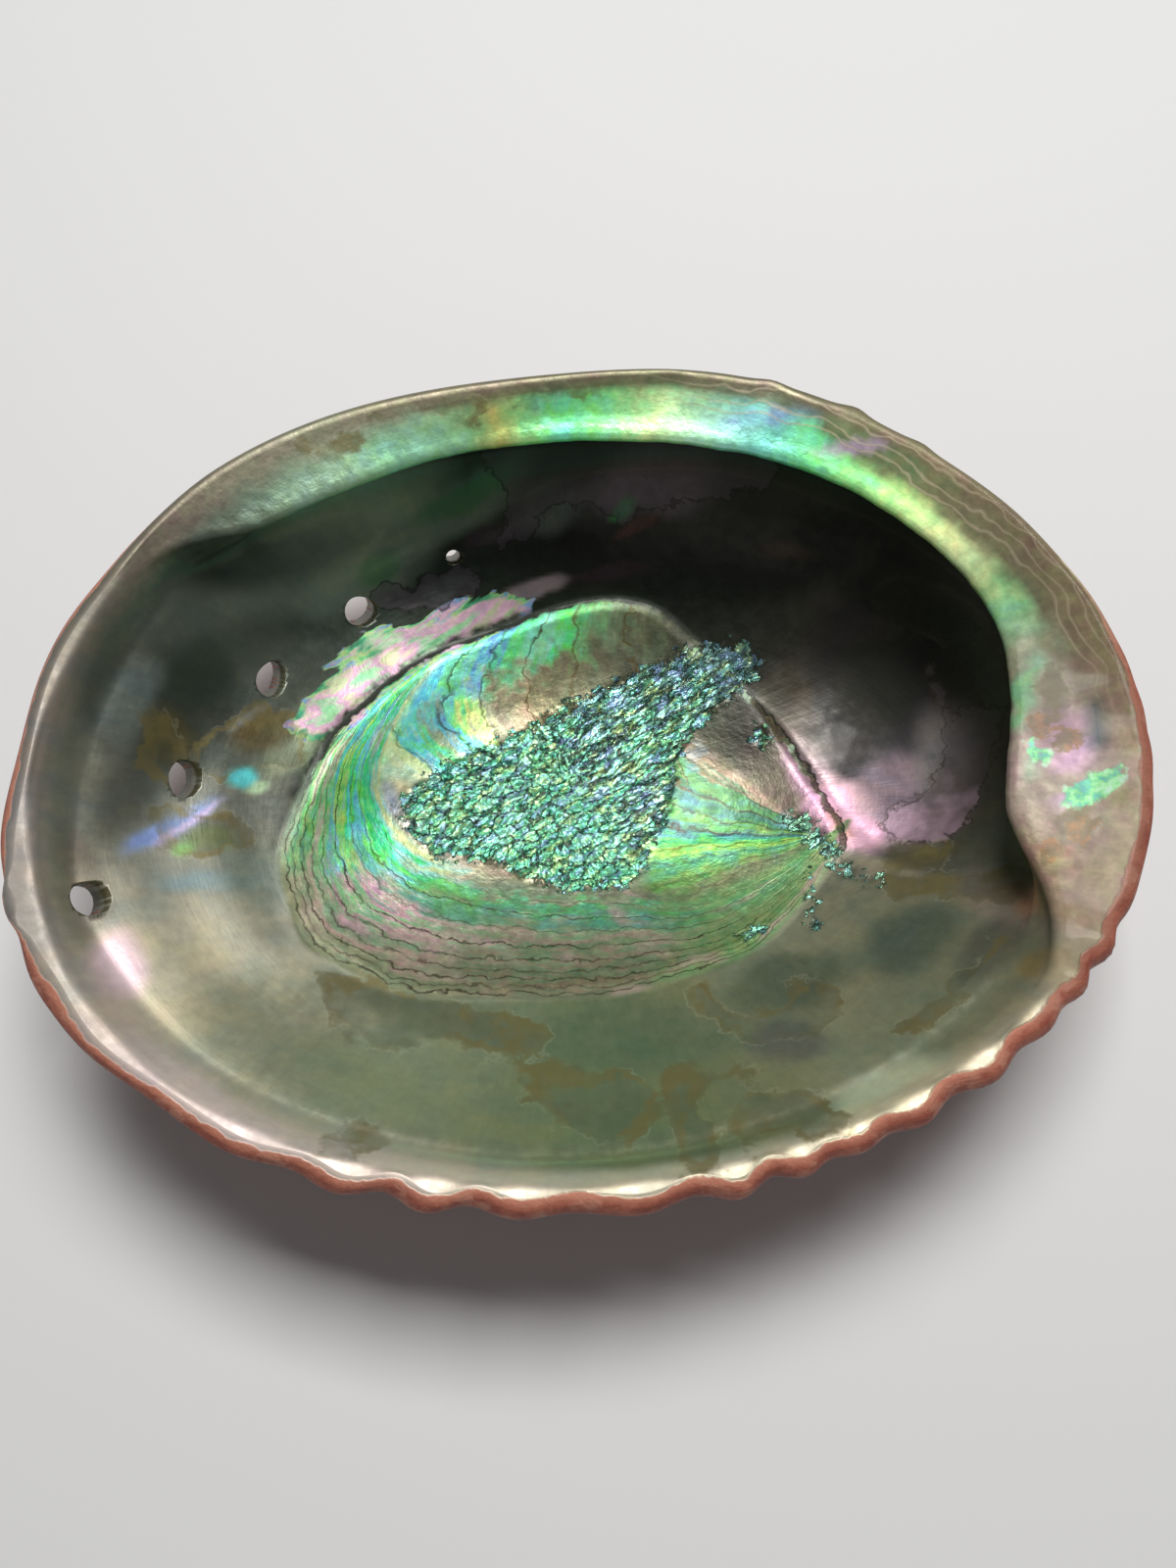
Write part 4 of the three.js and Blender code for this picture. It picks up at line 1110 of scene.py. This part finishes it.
# painted shadow: a dark line just outside the scar's upper left edge, under its step
edge_run = sums("ADD", field("scar_edge"), span(noise_at(4, 3), 0.3, 0.7, -0.5, 0.5))
edge_shadow = sums("MULTIPLY", span(edge_run, -2.8, -1.0), span(edge_run, 0.5, -0.1))
colour = mixed(sums("MULTIPLY", edge_shadow, field("edge_shadow")), colour, rgba("1b2419"))
worn_and_shaded_run = sums("ADD", field("scar_edge"), span(noise_at(3.5, 4, 0.6), 0.3, 0.7, -0.7, 0.7))
worn = sums("MULTIPLY", sums("MULTIPLY", span(worn_and_shaded_run, -0.5, -0.1), span(worn_and_shaded_run, 1.5, 0.7)), field("worn_and_shaded_edge"))
worn_colour = ramp_at(span(noise_at(4, 4), 0.35, 0.65), [
    (0, "2c2a1c"), (0.35, "544a2c"), (0.6, "46523c"), (0.85, "6c7456"), (1, "9cb49c")])
colour = mixed(sums("MULTIPLY", worn, 0.85), colour, worn_colour)
# painted shade: a dark line just outside the scar's right edge, at the foot of its step
step_shade_line = sums("MULTIPLY", span(worn_and_shaded_run, -0.9, -0.55), span(worn_and_shaded_run, -0.1, -0.4))
colour = mixed(sums("MULTIPLY", step_shade_line, sums("MULTIPLY", field("worn_and_shaded_edge"), 0.9)), colour, rgba("1a1c12"))

# a layer worn through in the spire's hollow, with a thin brown edge
spire_run = sums("ADD", field("spire_film"), span(noise_at(3, 5, 0.65), 0.3, 0.7, -1.0, 1.0))
spire_hue = mixed(span(to_back, 6 * MM, -6 * MM), rgba("575051"), rgba("c0a2b4"))
colour = mixed(span(spire_run, -0.3, 0.9, 0, 0.6), colour, spire_hue)
spire_edge = sums("MULTIPLY", span(spire_run, -0.5, -0.1), span(spire_run, 0.3, 0.0))
colour = mixed(sums("MULTIPLY", spire_edge, 0.6), colour, rgba("352d20"))

# the rough patch: small knobs on the left, long ridges that run up to the right
turned = stretched(place, (1, 1, 1), -ROUGH_GRAIN)
bend = node(tree, "ShaderNodeTexNoise", [("Vector", place), ("Scale", 340), ("Detail", 3)]).outputs["Color"]
bent = node(tree, "ShaderNodeMix", [(0, 0.0027), (6, turned), (7, bend)], data_type="RGBA", blend_type="ADD").outputs[2]
knob_place = stretched(bent, (0.55, 1.05, 0.5))
ridge_place = stretched(bent, (0.18, 1.1, 0.4))


def grains(where, size_mm):
    spots = [("Vector", where), ("Scale", 1 / (size_mm * MM))]
    cell = node(tree, "ShaderNodeTexVoronoi", spots, feature="F1")
    edge = node(tree, "ShaderNodeTexVoronoi", spots, feature="DISTANCE_TO_EDGE").outputs["Distance"]
    return node(tree, "ShaderNodeSeparateColor", [("Color", cell.outputs["Color"])]).outputs[0], edge


knob_value, knob_edge = grains(knob_place, 2.1)
ridge_value, ridge_edge = grains(ridge_place, 1.5)
streaked = span(sums("ADD", field("streaked"), span(middle_noise, 0.3, 0.7, -0.35, 0.35)), 0.3, 0.7)
grain_value = node(tree, "ShaderNodeMix", [(0, streaked), (2, knob_value), (3, ridge_value)], data_type="FLOAT").outputs[0]
grain_edge = node(tree, "ShaderNodeMix", [(0, streaked), (2, knob_edge), (3, ridge_edge)], data_type="FLOAT").outputs[0]
foil = node(tree, "ShaderNodeMix", [
    (0, streaked), (2, noise_at(1.2, 3, 0.6, stretched(bent, (0.4, 1, 1)))),
    (3, noise_at(1.2, 3, 0.6, stretched(bent, (0.12, 1, 1))))], data_type="FLOAT").outputs[0]
grain_run = sums("ADD", sums("MULTIPLY", grain_value, 0.5), sums("MULTIPLY", span(foil, 0.3, 0.7), 0.5))
grain_colour = ramp_at(span(grain_run, 0.12, 0.88), [
    (0, "2f7a6c"), (0.12, "48b08c"), (0.24, "78e0a4"), (0.36, "5cc4b0"), (0.46, "8cf0bc"), (0.54, "68c0d8"),
    (0.62, "88eca0"), (0.72, "a8ec9c"), (0.82, "78a8e8"), (0.9, "b0f4d0"), (1, "60ac98")])
upward = span(to_back, 20 * MM, 34 * MM)
grain_colour = mixed(sums("MULTIPLY", upward, 0.6), grain_colour, rgba("6c80b4"))
grain_colour = mixed(span(noise_at(5, 2), 0.5, 0.66, 0, 0.4), grain_colour, rgba("94dc84"))
grain_colour = mixed(span(to_back, 4 * MM, -8 * MM, 0, 0.3), grain_colour, rgba("78dcb0"))
grain_colour = mixed(sums("MULTIPLY", streaked, span(foil, 0.54, 0.4, 0, 0.9)), grain_colour, rgba("3a4a4e"))
foil_patches = noise_at(1.7, 2, 0.6, stretched(bent, (0.45, 1, 1)))
grain_colour = mixed(span(foil_patches, 0.54, 0.64, 0, 0.55), grain_colour, rgba("9cb2f2"))
grain_colour = mixed(span(foil_patches, 0.46, 0.37, 0, 0.5), grain_colour, rgba("cfe88e"))
far_end = sums("MULTIPLY", span(to_right, 14 * MM, 32 * MM, 0, 0.45), span(to_back, 4 * MM, 14 * MM))
grain_colour = mixed(far_end, grain_colour, rgba("34403e"))
near_tip = sums("MULTIPLY", span(to_right, 30 * MM, 38 * MM, 0, 0.55), span(to_back, 10 * MM, 2 * MM))
grain_colour = mixed(near_tip, grain_colour, rgba("9ce0cc"))
grain_colour = mixed(span(foil, 0.42, 0.32, 0, 0.6), grain_colour, rgba("2c463a"))
# painted glints: tiny pale specks of highlight on the grains
grain_colour = mixed(span(noise_at(0.6, 2), 0.68, 0.78, 0, 0.4), grain_colour, rgba("d0f4e4"))
# painted shade: the grains' borders darkened as crevices
crevice = span(sums("ADD", grain_edge, span(fine, 0.3, 0.7, -0.06, 0.06)), 0.0, 0.09)
rough_colour = mixed(crevice, rgba("344c40"), grain_colour)
rough_field = sums("ADD", field("rough"), span(noise_at(2.2, 4, 0.65), 0.3, 0.7, -1.7, 1.7))
rough_mask = span(rough_field, -0.2, 0.2)
rough_rim = sums("SUBTRACT", span(rough_field, -0.6, -0.1), rough_mask)
colour = mixed(sums("MULTIPLY", rough_rim, 0.5, clamp=True), colour, rgba("2a3a32"))
colour = mixed(rough_mask, colour, rough_colour)

# films of shell skin under the nacre, clearest at their edges
film_noise = span(noise_at(6, 5, 0.58), 0.3, 0.7, -1.5, 1.5)
olive_field = sums("ADD", field("olive_film"), film_noise)
olive_body = span(olive_field, -0.3, 0.9)
olive_inner = sums("ADD", olive_field, span(noise_at(11, 3), 0.38, 0.62, -2.6, 1.2))
olive_edge = sums("MULTIPLY", span(olive_field, -0.5, 0.6), span(olive_inner, 2.3, 0.3))
colour = mixed(sums("MULTIPLY", olive_body, span(broad, 0.35, 0.65, 0.2, 0.45)), colour, rgba("545c4e"))
colour = mixed(sums("MULTIPLY", olive_edge, span(noise_at(8, 2), 0.35, 0.6, 0.2, 0.7)), colour, rgba("7a6f44"))
olive_line = sums("MULTIPLY", span(olive_field, -0.7, -0.4), span(olive_field, 0.0, -0.3))
colour = mixed(sums("MULTIPLY", olive_line, span(noise_at(7, 2), 0.45, 0.6, 0, 0.22)), colour, rgba("b4b69a"))
island_noise = span(noise_at(2.2, 4, 0.6), 0.3, 0.7, -0.7, 0.7)
orange_field = sums("ADD", field("orange_island"), island_noise)
orange_hue = mixed(span(noise_at(2.5, 3), 0.4, 0.6), rgba("a87c4c"), rgba("7c6c4c"))
colour = mixed(span(orange_field, -0.15, 0.25, 0, 0.8), colour, orange_hue)
green_field = sums("ADD", field("green_island"), island_noise)
green_hue = ramp_at(span(noise_at(2.2, 3), 0.35, 0.65), [(0, "48b8b8"), (0.35, "60d8a0"), (0.7, "90ec9c"), (1, "b8ecd0")])
colour = mixed(span(green_field, -0.3, 0.5, 0, 0.9), colour, green_hue)
dark_field = sums("ADD", field("dark_film"), film_noise)
dark_edge = sums("MULTIPLY", span(dark_field, -0.4, 0.0), span(dark_field, 0.6, 0.1))
colour = mixed(sums("MULTIPLY", span(dark_field, -0.1, 0.3), 0.5), colour, rgba("4c444e"))
colour = mixed(sums("MULTIPLY", dark_edge, 0.7), colour, rgba("0c0f0a"))

# the outside and the lip's edge: brick red prisms, in bands as the shell grew
growth = field("growth")
rim_depth = field("rim_depth")
band_place = node(tree, "ShaderNodeCombineXYZ", [(0, growth), (1, 0.0), (2, 0.0)]).outputs[0]
bands = noise_at(1000 / 14, 5, 0.65, band_place)
bands = sums("ADD", bands, span(noise_at(7, 4), 0.3, 0.7, -0.09, 0.09))
crust = ramp_at(bands, [
    (0.3, "7c3a2c"), (0.42, "a4503a"), (0.5, "c07a5c"), (0.55, "9a4634"), (0.62, "c99b80"), (0.7, "8f6a52"),
    (0.8, "6f7a5c")])
crust = mixed(span(noise_at(2.2, 5, 0.6), 0.5, 0.68, 0, 0.5), crust, rgba("7d3526"))
crust = mixed(span(noise_at(12, 5, 0.6), 0.56, 0.66, 0, 0.75), crust, rgba("b9ada0"))
edge_colour = mixed(span(noise_at(3, 4), 0.38, 0.62), rgba("96503f"), rgba("ad6752"))
edge_colour = mixed(span(noise_at(1.1, 4), 0.5, 0.7, 0, 0.35), edge_colour, rgba("8a3c2c"))
edge_colour = mixed(span(noise_at(5, 4), 0.52, 0.64, 0, 0.6), edge_colour, rgba("c08a74"))
edge_colour = mixed(span(along_rim, 0.48, 0.62, 0, 0.4), edge_colour, rgba("864034"))
inner_red = sums("SUBTRACT", rim_depth, field("red_edge"))
edge_colour = mixed(span(inner_red, -1.8, -0.1, 0, 0.6), edge_colour, rgba("c98a72"))
pale_colour = mixed(span(noise_at(1.2, 4, 0.6, stretched(rim_place, (0.1, 0.1, 1))), 0.4, 0.6), rgba("857c64"), rgba("c4b998"))
edge_colour = mixed(field("pale_edge"), edge_colour, pale_colour)
line_run = sums("ADD", rim_depth, span(noise_at(9, 2), 0.3, 0.7, -0.9, 0.9))
for line_depth in (2.4, 4.6, 6.3):
    cream = sums("MULTIPLY", span(line_run, line_depth - 0.35, line_depth), span(line_run, line_depth + 0.35, line_depth))
    colour = mixed(sums("MULTIPLY", cream, sums("MULTIPLY", field("margin_lines"), 0.55)), colour, rgba("c9bda2"))
depth_now = sums("ADD", rim_depth, span(noise_at(2.6, 4), 0.3, 0.7, -0.6, 0.6))
crust = mixed(span(depth_now, -9.0, -3.5), crust, edge_colour)
crust_mask = span(sums("ADD", inner_red, span(noise_at(4, 4), 0.3, 0.7, -0.35, 0.35)), 0.25, -0.25)
colour = mixed(crust_mask, colour, crust)

gloss = span(middle_noise, 0.3, 0.7, 0.3, 0.42)
gloss = sums("SUBTRACT", gloss, sums("MULTIPLY", rough_mask, 0.08))
gloss = sums("ADD", gloss, sums("MULTIPLY", field("shelf_end"), 0.22))
near_lip = sums("MULTIPLY", span(field("rim_depth"), 12, 6), span(field("rim_depth"), -2, 0))
gloss = sums("ADD", gloss, sums("MULTIPLY", near_lip, 0.14))
lower_left = sums("MULTIPLY", span(to_right, -44 * MM, -62 * MM), span(to_back, -6 * MM, -16 * MM))
gloss = sums("ADD", gloss, sums("MULTIPLY", lower_left, 0.12))
upper_hollow = sums("MULTIPLY", span(to_right, 42 * MM, 50 * MM), span(to_back, 2 * MM, 12 * MM))
gloss = sums("ADD", gloss, sums("MULTIPLY", upper_hollow, 0.2))
scar_rim = sums("MULTIPLY", span(field("scar_edge"), -1.6, -0.6), span(field("scar_edge"), 2.6, 1.2))
gloss = sums("ADD", gloss, sums("MULTIPLY", scar_rim, 0.22))
# painted shade: the shelf's end is darkened, to tone down the lamp's reflection on it
colour = mixed(sums("MULTIPLY", field("shelf_end"), 0.35), colour, rgba("46403a"))
roughness = sums("ADD", gloss, sums("MULTIPLY", crust_mask, 0.25), clamp=True)
metallic = sums("MULTIPLY", sums("SUBTRACT", 1.0, crust_mask), 0.5)

rough_height = sums("ADD", sums("MULTIPLY", crevice, 0.6), sums("MULTIPLY_ADD", grain_value, 0.5, sums("MULTIPLY", foil, 2.0)))
height = sums("MULTIPLY", rough_mask, rough_height)
height = sums("ADD", height, sums("MULTIPLY", lines, -0.08))
height = sums("ADD", height, sums("MULTIPLY", worn, sums("MULTIPLY", noise_at(0.9, 4, 0.6), 0.8)))
height = sums("ADD", height, sums("MULTIPLY", fine, 0.05))
height = sums("ADD", height, sums("MULTIPLY", sums("MULTIPLY", noise_at(2.0, 4, 0.6), shine_mask), 0.35))
height = sums("ADD", height, sums("MULTIPLY", across_rim, 0.12))
height = sums("ADD", height, sums("MULTIPLY", along_rim, 0.10))
height = sums("ADD", height, sums("MULTIPLY", sums("MULTIPLY", noise_at(1.0, 5, 0.7), crust_mask), 1.0))
bump = node(tree, "ShaderNodeBump", [("Height", height), ("Distance", 0.4 * MM), ("Strength", 0.8)]).outputs[0]
surface = node(tree, "ShaderNodeBsdfPrincipled", [
    ("Base Color", colour), ("Metallic", metallic), ("Roughness", roughness), ("Normal", bump), ("IOR", 1.5),
    ("Coat Weight", 0.1), ("Coat Roughness", 0.1)])
out = node(tree, "ShaderNodeOutputMaterial", [("Surface", surface.outputs[0])])
mesh.materials.clear()
mesh.materials.append(material)
for polygon in mesh.polygons:
    polygon.use_smooth = True

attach(shell, "root")
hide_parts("shell")


# The table, lights and camera
floor_mesh = bpy.data.meshes.new("table")
floor_mesh.from_pydata([(-2, -2, 0), (2, -2, 0), (2, 2, 0), (-2, 2, 0)], [], [(0, 1, 2, 3)])
table = bpy.data.objects.new("table", floor_mesh)
bpy.context.scene.collection.objects.link(table)
paint_table = bpy.data.materials.new("pale_table")
paint_table.use_nodes = True
paint_table.node_tree.nodes["Principled BSDF"].inputs["Base Color"].default_value = rgba("d6d8da")
paint_table.node_tree.nodes["Principled BSDF"].inputs["Roughness"].default_value = 0.7
floor_mesh.materials.append(paint_table)

world = bpy.data.worlds.new("room")
bpy.context.scene.world = world
world.use_nodes = True
world.node_tree.nodes["Background"].inputs["Color"].default_value = rgba("d5d9de")
world.node_tree.nodes["Background"].inputs["Strength"].default_value = 0.12


def soft_lamp(name, where, aim, size, power, hue):
    lamp = bpy.data.lights.new(name, "AREA")
    lamp.shape = "RECTANGLE"
    lamp.size, lamp.size_y = size
    lamp.energy = power
    lamp.color = linear(hue)
    made = bpy.data.objects.new(name, lamp)
    made.location = where
    made.rotation_euler = (Vector(aim) - Vector(where)).to_track_quat("-Z", "Y").to_euler()
    bpy.context.scene.collection.objects.link(made)


soft_lamp("ceiling_light", (0.1, 0.42, 1.0), (0, 0, 0.03), (0.5, 0.35), 12.5, "fffcf8")
soft_lamp("front_fill", (-0.3, -0.9, 0.7), (0, 0, 0.03), (0.8, 0.6), 0.7, "fff4ea")

CAMERA_IN_MOUTH_FRAME = (1.51, -64.43, 206.82)
CAMERA_PITCH = math.radians(16)
camera_data = bpy.data.cameras.new("camera")
camera_data.lens = 30
camera_data.sensor_width = 36
camera = bpy.data.objects.new("camera", camera_data)
bpy.context.scene.collection.objects.link(camera)
eye = lay_down(CAMERA_IN_MOUTH_FRAME)
ahead = lay_down(np.array(CAMERA_IN_MOUTH_FRAME) + [0, math.sin(CAMERA_PITCH), -math.cos(CAMERA_PITCH)])
beside = lay_down(np.array(CAMERA_IN_MOUTH_FRAME) + [1, 0, 0])
from mathutils import Matrix
forward = Vector(ahead - eye).normalized()
right = Vector(beside - eye).normalized()
up = right.cross(forward)
turn = Matrix((right, up, -forward)).transposed()
camera.matrix_world = Matrix.Translation(Vector(eye * MM)) @ turn.to_4x4()
bpy.context.scene.camera = camera
bpy.context.scene.view_settings.view_transform = "Standard"

bpy.context.view_layer.update()
